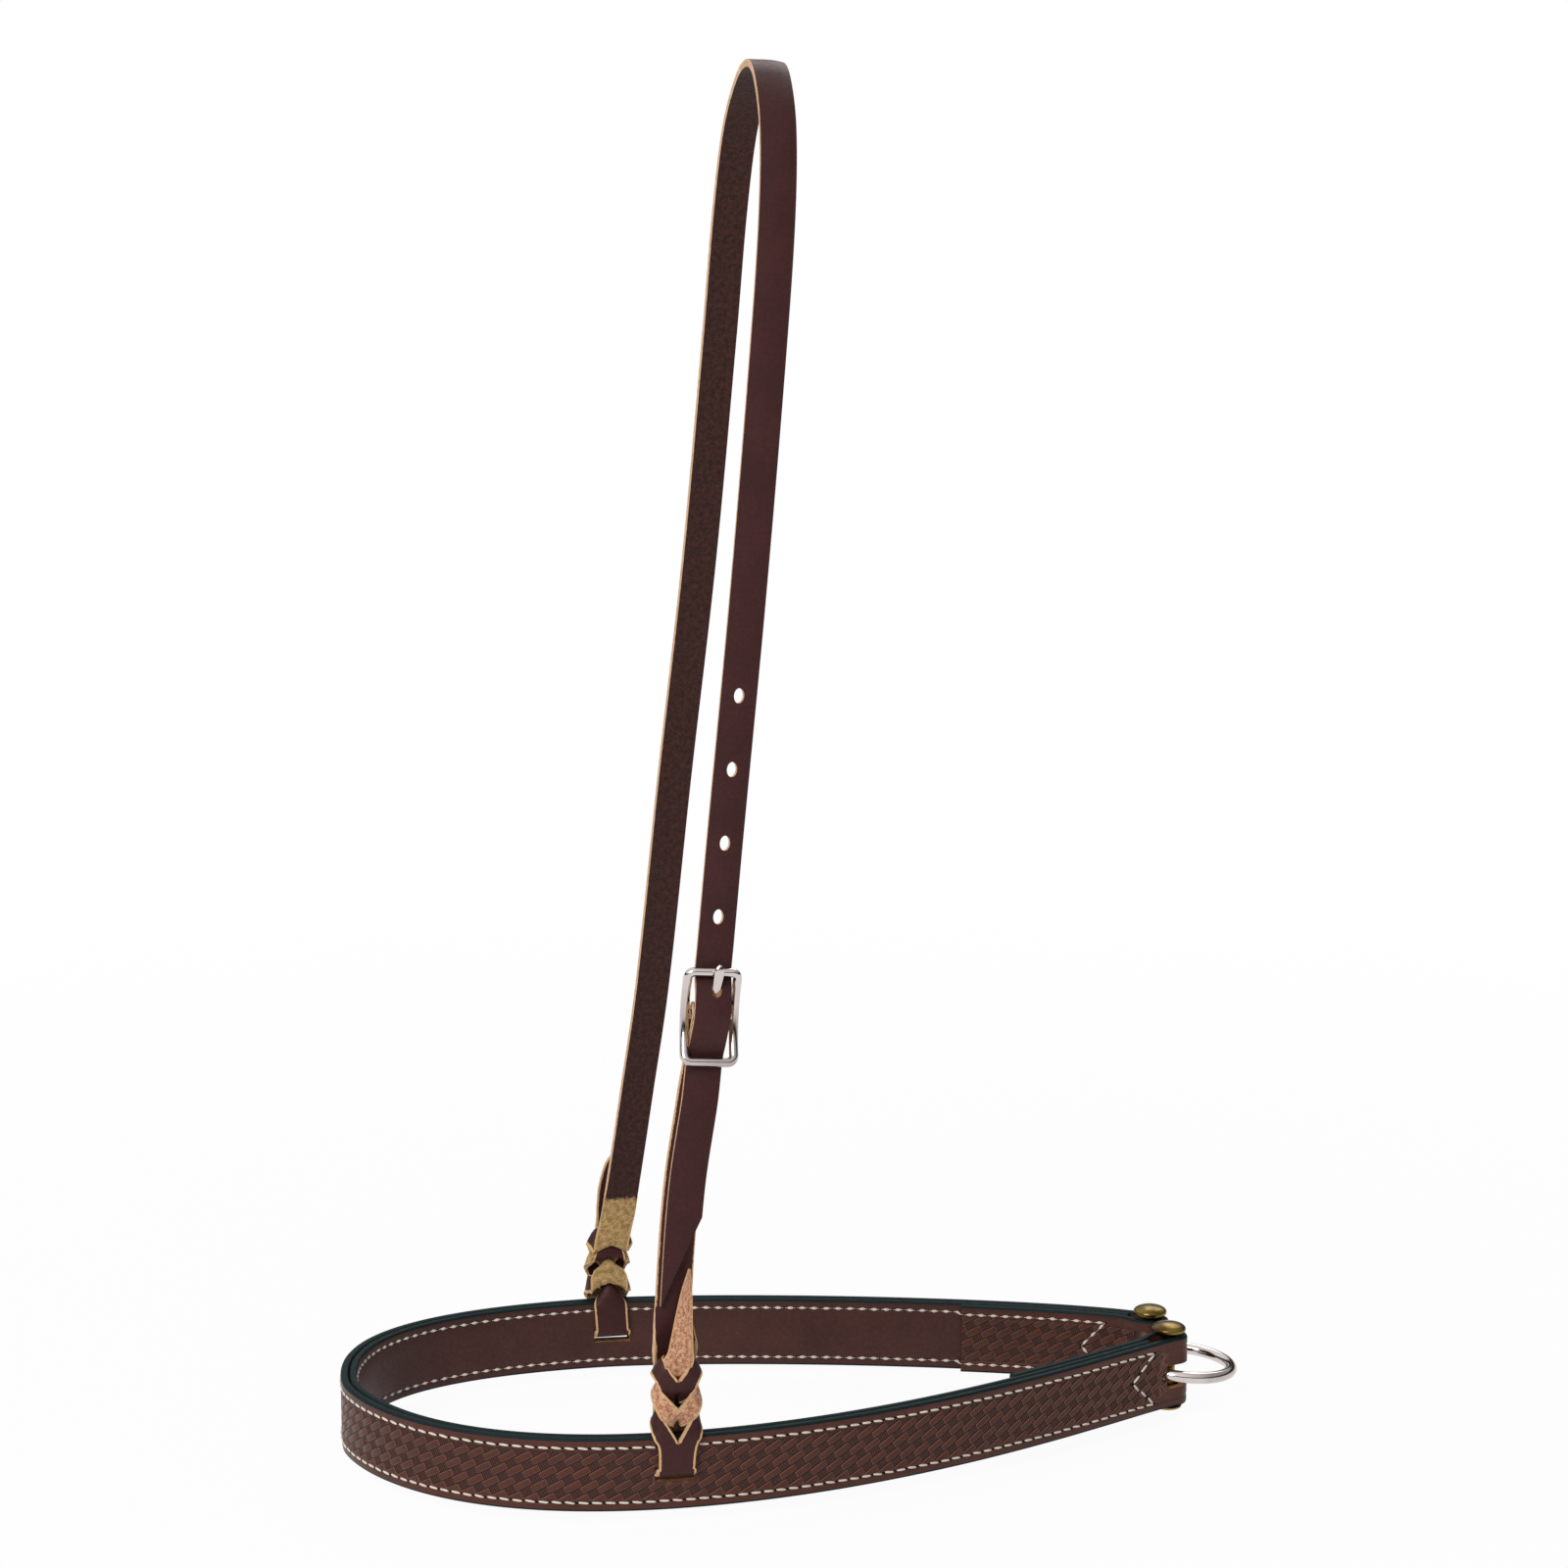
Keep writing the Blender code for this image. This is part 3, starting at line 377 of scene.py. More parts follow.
# %% [markdown]
# ## Thread and metal
#
# The thread is braided polyester with wax, cream in colour. The posts are brass that was oxidised brown
# and rubbed back, so it shines gold where a thumb would touch it. The ring and the buckle are iron with
# a nickel plate, polished and then dulled a little by handling.


# %% Thread, brass and nickel
def waxed_thread():
    """Braided thread: its plies and their wax are lighter and darker spots, 0.6 mm apart."""
    thread = Finish("waxed_cream_thread", Roughness=0.7, Specular_IOR_Level=0.3)
    ply = thread.noise(thread.place(), 0.0006)
    return thread.done(thread.mix(ply, "#bcae9f", "#f6ede2"), None, ply, 0.6, 0.0001)


def awl_hole_painted_shade():
    """Painted shade: a dark oval for the mouth of an awl hole, which lies in shadow and is stained by wax."""
    hole = Finish("awl_hole_shade_and_wax", Roughness=0.8, Specular_IOR_Level=0.1)
    return hole.done(hole.mix(hole.noise(hole.place(), 0.002), "#0c0606", "#1e100e"))


def metal(name, bright, dull, patch, rough, coverage):
    """A plated or oxidised metal: two tones in patches this many metres across, and fine wear."""
    plate = Finish(name, Metallic=1.0)
    place = plate.place()
    cloud = plate.noise(place, patch, 5.0)
    colour = plate.mix(plate.span(cloud, coverage - 0.1, coverage + 0.1), bright, dull)
    gloss = plate.span(cloud, 0.3, 0.7, *rough)
    return plate.done(colour, gloss, plate.noise(place, 0.0009, 3.0), 0.05, 0.0001)


cream_thread = waxed_thread()
awl_hole = awl_hole_painted_shade()
antique_brass = metal("antique_oxidised_brass", "#927a3e", "#52401f", 0.011, (0.18, 0.32), 0.5)
satin_nickel = metal("satin_nickel_plate", "#d2c9c6", "#b4aaa6", 0.02, (0.1, 0.16), 0.55)
print("thread and metals:", cream_thread.name, antique_brass.name, satin_nickel.name)

# %% [markdown]
# ## The shapes behind the pieces
#
# The CAD source has the measures of every route. This script can't read that file, so it repeats the
# numbers, all in millimetres: the outline of the band in plan, seen from above, and how the layers lie
# on each other from the outside inwards. Four Bezier curves join the nose, the two sides and the posts.


# %% The band's measures and outline
BAND_HIGH = 25.4
OUTER_THICK = 2.8
LINING_THICK = 2.6
GAP = 0.3  # air left between two pieces that lie together
BAND_THICK = OUTER_THICK + GAP + LINING_THICK
NOSE = Vector((-148.6, 1.1, 0))  # the front of the nose, then where each side is widest
NEAR_WIDEST = Vector((-41.9, -77.4, 0))
FAR_WIDEST = Vector((-50.2, 74.4, 0))
NOSE_HANDLES = (13.2, 47.4)  # how flat the curve is at each of these, towards one side and the other
NEAR_HANDLES = (90.0, 87.7)
FAR_HANDLES = (68.1, 49.5)
END_HANDLES = (18.5, 33.9)
END_SLOPES = (0.28, 0.80)  # radians inwards of the near and far side where they reach their posts
LINING_SHORT = 10.5  # how far before the post the lining stops
FOLD_BACK = 74.0  # length of outer strap that comes back along the lining from the post
FOLD_SETTLE = 14.0  # distance in which the folded end closes on the lining
FOLD_BEYOND = 1.4  # how far the folded end stands off its post
POST_X = (145.0, 144.3)  # near and far
POST_Y = 10.0
BARREL_R = 2.4
FOLD_OUT = BARREL_R + GAP + OUTER_THICK  # radius of the grain side round a post
OUTLINE_STEP = 1.6


def point(x, y, height):
    return Vector((x, y, BAND_BOTTOM + height))


def smooth_step(value, low, high):
    """From 0 to 1 between two values, level at both."""
    t = min(1.0, max(0.0, (value - low) / (high - low)))
    return t * t * (3 - 2 * t)


def arc(first, last, steps):
    """Angles in radians from one to the other, which are given in degrees."""
    return [math.radians(first + (last - first) * k / steps) for k in range(steps + 1)]


def bezier_points(start, leave, arrive, end, count=400):
    parts = (k / count for k in range(count))
    return [
        start * (1 - t) ** 3 + leave * 3 * t * (1 - t) ** 2 + arrive * 3 * t * t * (1 - t) + end * t**3
        for t in parts
    ]


def post_frame(side):
    """Middle of a post, the way the strap runs to it, and the way out of the band. Side -1 is near."""
    slope = END_SLOPES[side > 0]
    middle = Vector((POST_X[side > 0], side * POST_Y, 0))
    along = Vector((math.cos(slope), -side * math.sin(slope), 0))
    return middle, along, Vector((math.sin(slope), side * math.cos(slope), 0))


def band_outline():
    """The outer face in plan, from the near post round the nose to the far post."""
    near_post, near_along, near_out = post_frame(-1)
    far_post, far_along, far_out = post_frame(1)
    near_end = near_post + near_along * FOLD_BEYOND + near_out * FOLD_OUT
    far_end = far_post + far_along * FOLD_BEYOND + far_out * FOLD_OUT
    x, y = Vector((1, 0, 0)), Vector((0, 1, 0))
    near_nose, far_nose = NOSE - y * NOSE_HANDLES[0], NOSE + y * NOSE_HANDLES[1]
    fine = bezier_points(
        near_end, near_end - near_along * END_HANDLES[0], NEAR_WIDEST + x * NEAR_HANDLES[1], NEAR_WIDEST
    )
    fine += bezier_points(NEAR_WIDEST, NEAR_WIDEST - x * NEAR_HANDLES[0], near_nose, NOSE)
    fine += bezier_points(NOSE, far_nose, FAR_WIDEST - x * FAR_HANDLES[0], FAR_WIDEST)
    fine += bezier_points(
        FAR_WIDEST, FAR_WIDEST + x * FAR_HANDLES[1], far_end - far_along * END_HANDLES[1], far_end
    )
    return [*fine, far_end]


def every(points, spacing):
    """(distance, point, way out) about this far apart along a fine line."""
    lengths = [0.0]
    for a, b in zip(points, points[1:]):
        lengths.append(lengths[-1] + (b - a).length)
    count = round(lengths[-1] / spacing)
    found = []
    k = 0
    for i in range(count + 1):
        wanted = lengths[-1] * i / count
        while k < len(points) - 2 and lengths[k + 1] < wanted:
            k += 1
        a, b = points[k], points[k + 1]
        share = (wanted - lengths[k]) / (lengths[k + 1] - lengths[k])
        along = (b - a).normalized()
        found.append((wanted, a.lerp(b, share), Vector((-along.y, along.x, 0))))
    return found


outline = every(band_outline(), OUTLINE_STEP)
BAND_LENGTH = outline[-1][0]
print("the band's outer face is", round(BAND_LENGTH), "mm long between its posts")

# %% [markdown]
# A saddler works on flat leather and bends it last. The script does the same. A Face is a surface of the
# band that something lies on. It turns flat measures, that is millimetres along the band, up it and proud
# of it, into a place in space. Whatever is made flat, such as a row of stitches, is then bent in one go.


# %% Faces to lay flat work on
class Face:
    """A face of the band, from stations of (distance along, point in plan, way out of the face)."""

    def __init__(self, stations):
        self.reach = [s for s, _, _ in stations]
        self.stations = stations

    def before(self, along):
        """The last station before a place."""
        return min(max(bisect_right(self.reach, along) - 1, 0), len(self.reach) - 2)

    def place(self, along, up, proud):
        k = self.before(along)
        t = (along - self.reach[k]) / (self.reach[k + 1] - self.reach[k])
        (_, a, a_out), (_, b, b_out) = self.stations[k], self.stations[k + 1]
        out = a_out.lerp(b_out, t).normalized()
        return a.lerp(b, t) + out * proud + Vector((0, 0, BAND_BOTTOM + up))

    def out(self, along):
        return self.stations[self.before(along)][2]


def bend(bm, face):
    """Lays flat work on a face, and turns its faces over where that mirrors it."""
    bm.normal_update()
    flat_face = max(bm.faces, key=lambda f: f.normal.z)
    along = flat_face.calc_center_median().x
    for vert in bm.verts:
        vert.co = face.place(*vert.co) * MM
    bm.normal_update()
    if flat_face.normal.dot(face.out(along)) < 0:
        bmesh.ops.reverse_faces(bm, faces=bm.faces)


def from_end(side, s):
    """Distance from this side's post of a place that lies this far along the outline."""
    return s if side < 0 else BAND_LENGTH - s


def came_back(side, s, p, out):
    """Where the grain of the layer that comes back from a post lies behind a place on the outline."""
    settled = BAND_THICK + GAP + OUTER_THICK / 2
    at_post = 2 * (BARREL_R + GAP) + 1.5 * OUTER_THICK
    depth = at_post + (settled - at_post) * smooth_step(from_end(side, s) / FOLD_SETTLE, 0.35, 1.0)
    return p - out * (depth + OUTER_THICK / 2), -out


def outer_strap_stations():
    """The outer strap's grain face, from its near end that comes back, all round to its far end."""
    back, fold = {}, {-1: [], 1: []}
    turns = arc(0, 180, 24)
    for side in (-1, 1):
        beside = [at for at in reversed(outline) if 1 < from_end(side, at[0]) < FOLD_BACK]
        back[side] = [came_back(side, *at) for at in beside]
        middle, along, out = post_frame(side)
        for angle in turns[:-1] if side < 0 else turns[1:]:
            away = along * math.sin(angle) + out * (side * math.cos(angle))
            fold[side].append((middle + along * FOLD_BEYOND + away * FOLD_OUT, away))
    whole = back[-1] + fold[-1] + [(p, out) for _, p, out in outline] + fold[1] + back[1]
    found = [(0.0, *whole[0])]
    for (a, _), (b, out) in zip(whole, whole[1:]):
        found.append((found[-1][0] + (b - a).length, b, out))
    return found, found[len(back[-1] + fold[-1])][0]


def inside_stations():
    """The inner face as seen from the loop: the lining, and near each post the strap that comes back."""
    for s, p, out in outline:
        side = -1 if s < BAND_LENGTH / 2 else 1
        if from_end(side, s) < FOLD_BACK:
            yield (s, *came_back(side, s, p, out))
        else:
            yield s, p - out * BAND_THICK, -out


outer_stations, FRONT_START = outer_strap_stations()
OUTER_LENGTH = outer_stations[-1][0]
outer_strap_face = Face(outer_stations)
front_face = Face(outline)
inside_face = Face(list(inside_stations()))
back_faces = {
    side: Face([(at[0], *came_back(side, *at)) for at in outline if from_end(side, at[0]) < FOLD_BACK + 6])
    for side in (-1, 1)
}
print("the outer strap is", round(OUTER_LENGTH), "mm long before it is folded")

# %% [markdown]
# ## Finishing a piece
#
# Every piece ends the same way: its mesh gets smooth shading with sharp edges kept, it is attached to
# the CAD body that it moves with, and the CAD nodes that it stands for are hidden.


# %% From a bmesh to a piece
def new_piece(name, bm, materials):
    mesh = bpy.data.meshes.new(name)
    bm.to_mesh(mesh)
    bm.free()
    for material in materials:
        mesh.materials.append(material)
    piece = bpy.data.objects.new(name, mesh)
    bpy.context.scene.collection.objects.link(piece)
    return piece


def combine(piece, name, other, operation):
    """Joins a second object to a piece, or cuts it out, with a Boolean modifier."""
    made = piece.modifiers.new(name, "BOOLEAN")
    made.operation = operation
    made.solver = "EXACT"
    made.object = other


def put(bm, place):
    """Moves a shape, drawn in millimetres in a local frame, to its place."""
    bmesh.ops.transform(bm, matrix=Matrix.Scale(MM, 4) @ place, verts=bm.verts)


def spin_round(bm, geom, axis, steps):
    """Spins half an outline, or a wire's circle, into a closed shape round an axis."""
    turn = 2 * math.pi
    bmesh.ops.spin(bm, geom=geom, cent=(0, 0, 0), axis=axis, angle=turn, steps=steps, use_merge=True)
    bmesh.ops.remove_doubles(bm, verts=bm.verts, dist=1e-4)
    bmesh.ops.recalc_face_normals(bm, faces=bm.faces)


def line_through(bm, points):
    line = [bm.verts.new(co) for co in points]
    return line + [bm.edges.new(pair) for pair in zip(line, line[1:])]


def punch_out(piece, name, bm, place):
    """Cuts a closed shape out of a piece."""
    put(bm, place)
    for side in bm.faces:
        side.material_index = 2
    bmesh.ops.recalc_face_normals(bm, faces=bm.faces)
    combine(piece, name, new_piece(name, bm, piece.data.materials), "DIFFERENCE")


def punch(piece, name, place, low, high):
    """Cuts a block between two corners out of a piece."""
    bm = bmesh.new()
    bmesh.ops.create_cube(bm, size=1.0)
    bmesh.ops.scale(bm, vec=Vector(high) - Vector(low), verts=bm.verts)
    bmesh.ops.translate(bm, vec=(Vector(high) + Vector(low)) / 2, verts=bm.verts)
    punch_out(piece, name, bm, place)


def settle(piece):
    """Applies a piece's modifiers, and clears away the objects and the point groups that they used."""
    helpers = [m.object for m in piece.modifiers if m.type == "BOOLEAN"]
    bpy.context.view_layer.update()
    evaluated = piece.evaluated_get(bpy.context.evaluated_depsgraph_get())
    mesh = bpy.data.meshes.new_from_object(evaluated)
    piece.modifiers.clear()
    piece.data = mesh
    piece.vertex_groups.clear()
    for helper in helpers:
        bpy.data.objects.remove(helper, do_unlink=True)


def finish_piece(piece, body, slot, *nodes):
    mesh = piece.data
    mesh.shade_smooth()
    mesh.set_sharp_from_angle(angle=math.radians(40))
    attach(piece, body)
    if nodes:
        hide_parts(*nodes)
    print(piece.name, "has", len(mesh.loop_triangles) or len(mesh.polygons), "faces")


print("ready to make pieces")

# %% [markdown]
# ## The outer strap
#
# This is one long strap. It runs round the outside of the band, folds round each post and comes back
# along the inside, grain side in. Its section is drawn once, as a loop of points: rounded and painted
# edges, a smooth border, the groove that the thread lies in, and the floor that the stamps left.
# A grid is wrapped round that loop and along the route, and its seam is welded. A plain extrude along
# the route would do too, but the grid keeps the flat measures of each point for the UV map.


# %% The section and the strap
STITCH_IN = 3.3  # distance of the sewing from each edge
GROOVE = 0.16
TOOL_IN = 4.2  # distance of the stamped part from each edge
TOOL_DEEP = 0.5
TOOL_STARTS = (5.0, 12.0)  # distances from a post where the stamps begin and are at full depth
BACK_STARTS = (4.0, 11.0)  # the same on the layer that comes back, from the end of the fold
PAINTED = 1.0  # how far the edge paint reaches up the faces
EDGE = [(0.0, -1.3), (0.05, -0.85), (0.22, -0.45), (0.5, -0.17), (0.95, -0.02)]
BORDER = [(1.7, 0.0), (STITCH_IN - 0.6, 0.0), (STITCH_IN - 0.3, -GROOVE * 0.7), (STITCH_IN, -GROOVE)]
BORDER += [(STITCH_IN + 0.35, -GROOVE * 0.6)]


def band_section(thick, tooled):
    """A closed section as (up, proud, whether stamped). The front goes up and the back comes down."""
    rise = [(up, proud, 0) for up, proud in EDGE + BORDER]
    if tooled:
        rise += [(TOOL_IN, -0.02, 0), (TOOL_IN + 0.3, 0.0, 1), (8.0, 0.0, 1)]
    else:
        rise += [(TOOL_IN, 0.0, 0), (8.0, 0.0, 0)]
    front = rise + [(BAND_HIGH - up, proud, stamped) for up, proud, stamped in reversed(rise)]
    back = [(BAND_HIGH - up, -thick - proud, 0) for up, proud in EDGE]
    return front + back + [(up, -thick - proud, 0) for up, proud in reversed(EDGE)]


def wrap_strap(face, section, tooled_at):
    """A closed strap of this section along a face, with its flat measures kept as UV."""
    last = len(face.reach) - 1
    bm = bmesh.new()
    bmesh.ops.create_grid(bm, x_segments=len(section), y_segments=last, size=1.0)
    stamped = bm.verts.layers.float.new("stamped")
    flat = bm.loops.layers.uv.new("flat")
    where = {}
    for vert in bm.verts:
        column = round((vert.co.x + 1) / 2 * len(section)) % len(section)
        where[vert] = (face.reach[round((vert.co.y + 1) / 2 * last)], section[column])
    for strip in bm.faces:
        strip.smooth = True
        ups = [where[loop.vert][1][0] for loop in strip.loops]
        strip.material_index = int(max(ups) < PAINTED or min(ups) > BAND_HIGH - PAINTED)
        for loop, up in zip(strip.loops, ups):
            loop[flat].uv = (where[loop.vert][0], up)
    for vert, (reach, (up, proud, pressed)) in where.items():
        share = tooled_at(reach) if pressed else 0.0
        # How deep a point was stamped: the leather goes darker by it, partly burnish and partly painted
        # shade.
        vert[stamped] = share
        vert.co = face.place(reach, up, proud - TOOL_DEEP * share) * MM
    bmesh.ops.remove_doubles(bm, verts=bm.verts, dist=1e-6)
    ends = [edge for edge in bm.edges if edge.is_boundary]
    bmesh.ops.holes_fill(bm, edges=ends, sides=0)
    bmesh.ops.recalc_face_normals(bm, faces=bm.faces)
    return bm


def fade_at_posts(s):
    """How deep the stamps went: nothing where the strap is folded, all of it further on."""
    return smooth_step(min(s, BAND_LENGTH - s), *TOOL_STARTS)


def tooled_along_outer(reach):
    """The same, by the outer strap's own length."""
    fold_start = FRONT_START - math.pi * FOLD_OUT
    into_back = max(fold_start - reach, reach - (OUTER_LENGTH - fold_start))
    return smooth_step(into_back, *BACK_STARTS) if into_back > 0 else fade_at_posts(reach - FRONT_START)


bm = wrap_strap(outer_strap_face, band_section(OUTER_THICK, True), tooled_along_outer)
outer_strap = new_piece("outer_band_strap", bm, [tooled_bridle_leather, band_edge_paint, raw_slot_wall])
print("outer strap:", len(outer_strap.data.vertices), "points")

# %% [markdown]
# ## The lining
#
# The second layer lies inside the first and stops short of the posts. It is plain, with the grain side
# against the horse, so its section has no stamped floor.

# %% The lining
lining_stations = [
    (s, p - out * BAND_THICK, -out) for s, p, out in outline if LINING_SHORT < s < BAND_LENGTH - LINING_SHORT
]
bm = wrap_strap(Face(lining_stations), band_section(LINING_THICK, False), lambda reach: 0.0)
lining = new_piece("band_lining", bm, [smooth_lining_leather, band_edge_paint, raw_slot_wall])
print("lining:", round(lining_stations[-1][0] - lining_stations[0][0]), "mm along the band")

# %% [markdown]
# ## Slots and notches
#
# The hanger passes through a slot on each side, and the ring goes through a notch at each fold. They are
# punched after the layers are glued, so both layers get the same cut. A Boolean modifier does that here,
# with a block as the punch. Its own material index gives the raw colour to the walls that it leaves.

# %% Punch the band
SLOT_LOW = 10.0
SLOT_HIGH = 14.6
SLOT_WIDE = 13.2
SLOT_X = {-1: -46.5, 1: -43.1}
NOTCH_LOW = 7.2
NOTCH_HIGH = 15.7
NOTCH_BACK = {-1: 6.8, 1: 8.2}  # reach of the notch past the post in the outer layer, near and far
NOTCH_RETURN = 10.0  # the same in the layer that comes back
NOTCH_AHEAD = 9  # how far the notch's punch goes on beyond the fold
NOTCH_THROUGH = (-12, 8)  # from behind the band to before its face
RETURN_THROUGH = (-12.5, 0.9)  # the same, stopping short of the outer layer
SLOT_THROUGH = 9
CLEAR = 0.02  # keeps the walls of two punches from lying in one plane
WORDS = {-1: "near", 1: "far"}
UP = Vector((0, 0, 1))


def axes(across, out, up, at):
    made = Matrix((across, out, up)).transposed().to_4x4()
    made.translation = at
    return made


def slot_frame(side):
    """A frame where a hanger leg crosses the band: along the band, out of it, and up."""
    x = SLOT_X[side]
    beside = [item for item in outline if item[1].y * side > 0 and item[1].x < POST_X[0] - 40]
    s, p, out = min(beside, key=lambda item: abs(item[1].x - x))
    along = UP.cross(out) * -1
    place = p - out * BAND_THICK / 2
    return axes(along, out, UP, point(place.x, place.y, 0) + along * ((x - p.x) / along.x)), s


for side, word in WORDS.items():
    at_slot, _ = slot_frame(side)
    for target in (outer_strap, lining):
        high = (SLOT_WIDE / 2, SLOT_THROUGH, SLOT_HIGH)
        punch(target, f"{word}_slot_punch", at_slot, (-SLOT_WIDE / 2, -SLOT_THROUGH, SLOT_LOW), high)
    middle, along, out = post_frame(side)
    at_post = axes(along, out, UP, point(middle.x, middle.y, 0))
    low = (-NOTCH_BACK[side], NOTCH_THROUGH[0], NOTCH_LOW)
    high = (NOTCH_AHEAD, NOTCH_THROUGH[1], NOTCH_HIGH)
    punch(outer_strap, f"{word}_notch_punch", at_post, low, high)
    low = (-NOTCH_RETURN, RETURN_THROUGH[0], NOTCH_LOW + CLEAR)
    high = (-1, RETURN_THROUGH[1], NOTCH_HIGH - CLEAR)
    punch(outer_strap, f"{word}_return_punch", at_post, low, high)
settle(outer_strap)
settle(lining)
finish_piece(outer_strap, "noseband", "band_leather", "noseband_outer_strap")
finish_piece(lining, "noseband", "lining_leather", "noseband_lining")

# %% [markdown]
# ## Basket weave
#
# A basket stamp is struck again and again along slanting lines. Each blow leaves a smooth slat that
# looks as if it passed over its neighbours, and a patch of fine bars where one seems to pass under. The
# rows lean by 29 degrees, and each is shifted by half a slat. A displaced surface would need millions of
# faces for the bars, so one stamp is modelled and repeated over the flat strap, cut off at the borders,
# and bent onto the band with it.

# %% One blow of the stamp, and many
SLAT_LONG = 6.2
SLAT_WIDE = 2.3
SLAT_RIM = 0.34  # width of its rounded rim
SUNK = 0.1  # how far it goes on below the floor
BARS = 4
BAR_WIDE = 0.46
BAR_HIGH = 0.3
BAR_TOP = (0.45, 0.92)  # share of its width and length that a bar has left at its top
BAR_PITCH = 0.83
FIRST_BAR = 0.55  # from the slat's end
BAR_UP = 0.08  # a bar's middle is this much above the floor
ROW_PITCH = 2.7
SLAT_PITCH = 9.8
LEAN = math.radians(29)
STAMP_REACH = (7, 5)  # a blow this far outside the stretch, along and up, still reaches into it
WINDOW_MARGIN = 0.3  # the weave stops this far from a slot, and a little further below it
WEAVE_STARTS = 5.8  # distance from the posts, outside
BACK_WEAVE = (6.5, FOLD_BACK - 0.9)  # where it starts and stops on the layer that comes back


def one_stamp(bm):
    """A slat and the bars beyond its end, on the floor of the stamped part, along the x axis."""
    slat = bmesh.ops.create_cube(bm, size=1.0)["verts"]
    bmesh.ops.scale(bm, vec=(SLAT_LONG, SLAT_WIDE, TOOL_DEEP + SUNK), verts=slat)
    bmesh.ops.translate(bm, vec=(0, 0, -(TOOL_DEEP + SUNK) / 2), verts=slat)
    rims = [e for e in bm.edges if all(v.co.z > -0.01 for v in e.verts)]
    bmesh.ops.bevel(bm, geom=rims, offset=SLAT_RIM, segments=2, profile=0.5, affect="EDGES", material=-1)
    for k in range(BARS):
        bar = bmesh.ops.create_cube(bm, size=1.0)["verts"]
        bmesh.ops.scale(bm, vec=(BAR_WIDE, SLAT_WIDE, BAR_HIGH), verts=bar)
        tops = [v for v in bar if v.co.z > 0]
        bmesh.ops.scale(bm, vec=(*BAR_TOP, 1.0), verts=tops)
        shift = SLAT_LONG / 2 + FIRST_BAR + k * BAR_PITCH
        bmesh.ops.translate(bm, vec=(shift, 0, -TOOL_DEEP + BAR_UP), verts=bar)
    hidden = [f for f in bm.faces if f.normal.z < -0.5]
    bmesh.ops.delete(bm, geom=hidden, context="FACES")


def whole(bm):
    return list(bm.verts) + list(bm.edges) + list(bm.faces)


def borders(s_low, s_high, up_low, up_high):
    """The sides of a rectangle in flat work, each as a point and the way out."""
    return (
        ((s_low, 0, 0), (-1, 0, 0)),
        ((s_high, 0, 0), (1, 0, 0)),
        ((0, up_low, 0), (0, -1, 0)),
        ((0, up_high, 0), (0, 1, 0)),
    )


def cut_window(bm, s_low, s_high, up_low, up_high):
    """Takes a rectangle out of flat work, as a punch does."""
    for co, no in borders(s_low, s_high, up_low, up_high):
        near = [f for f in bm.faces if s_low - 8 < f.calc_center_median().x < s_high + 8]
        geom = list({e for f in near for e in f.edges} | {v for f in near for v in f.verts}) + near
        bmesh.ops.bisect_plane(bm, geom=geom, dist=1e-5, plane_co=co, plane_no=no)
    middles = [(f, f.calc_center_median()) for f in bm.faces]
    inside = [f for f, at in middles if s_low < at.x < s_high and up_low < at.y < up_high]
    bmesh.ops.delete(bm, geom=inside, context="FACES")


def stamped_sheet(s_low, s_high, mirrored=False, windows=()):
    """The basket weave over this stretch of flat strap."""
    bm = bmesh.new()
    one_stamp(bm)
    first = whole(bm)
    lean = LEAN if mirrored else -LEAN
    bmesh.ops.rotate(bm, cent=(0, 0, 0), matrix=Matrix.Rotation(lean, 3, "Z"), verts=bm.verts)
    slat_step = Vector((math.cos(lean), math.sin(lean))) * SLAT_PITCH
    row_step = Vector((-math.sin(lean), math.cos(lean))) * ROW_PITCH + slat_step / 2
    count = 0
    beside, above = STAMP_REACH
    for row in range(-400, 400):  # more rows and more slats in a row than the strap can hold
        for k in range(-300, 300):
            spot = row_step * row + slat_step * k
            if not s_low - beside < spot.x < s_high + beside:
                continue
            if not TOOL_IN - above < spot.y < BAND_HIGH - TOOL_IN + above:
                continue
            copy = bmesh.ops.duplicate(bm, geom=first)["geom"]
            moved = [g for g in copy if isinstance(g, bmesh.types.BMVert)]
            bmesh.ops.translate(bm, vec=(spot.x, spot.y, 0), verts=moved)
            count += 1
    bmesh.ops.delete(bm, geom=[g for g in first if isinstance(g, bmesh.types.BMVert)], context="VERTS")
    for co, no in borders(s_low, s_high, TOOL_IN + 0.1, BAND_HIGH - TOOL_IN - 0.1):
        bmesh.ops.bisect_plane(bm, geom=whole(bm), dist=1e-5, plane_co=co, plane_no=no, clear_outer=True)
    for window in windows:
        cut_window(bm, *window)
    stamped = bm.verts.layers.float.new("stamped")
    flat = bm.loops.layers.uv.new("flat")
    for f in bm.faces:
        for loop in f.loops:
            loop[flat].uv = loop.vert.co.xy
    for vert in bm.verts:
        # How deep a point was stamped: the leather goes darker by it, partly burnish and partly painted
        # shade, with a painted highlight on the rims.
        vert[stamped] = min(1.0, max(0.0, -vert.co.z / TOOL_DEEP)) ** 0.7
        vert.co.z *= fade_at_posts(vert.co.x)
    print(count, "blows of the stamp between", round(s_low), "and", round(s_high), "mm")
    return bm


windows = []
for side in WORDS:
    _, slot_s = slot_frame(side)
    half = SLOT_WIDE / 2 + WINDOW_MARGIN
    windows.append((slot_s - half, slot_s + half, SLOT_LOW - 0.4, SLOT_HIGH + WINDOW_MARGIN))
bm = stamped_sheet(WEAVE_STARTS, BAND_LENGTH - WEAVE_STARTS, windows=windows)
bend(bm, front_face)
finish_piece(new_piece("front_basket_weave", bm, [tooled_bridle_leather]), "noseband", "band_leather")

# %% [markdown]
# The strap that comes back from each post is stamped as well, since it is the same strap. Seen from its
# own grain side the rows still lean the same way along the strap, so the flat pattern is mirrored here,
# where that side looks into the loop.

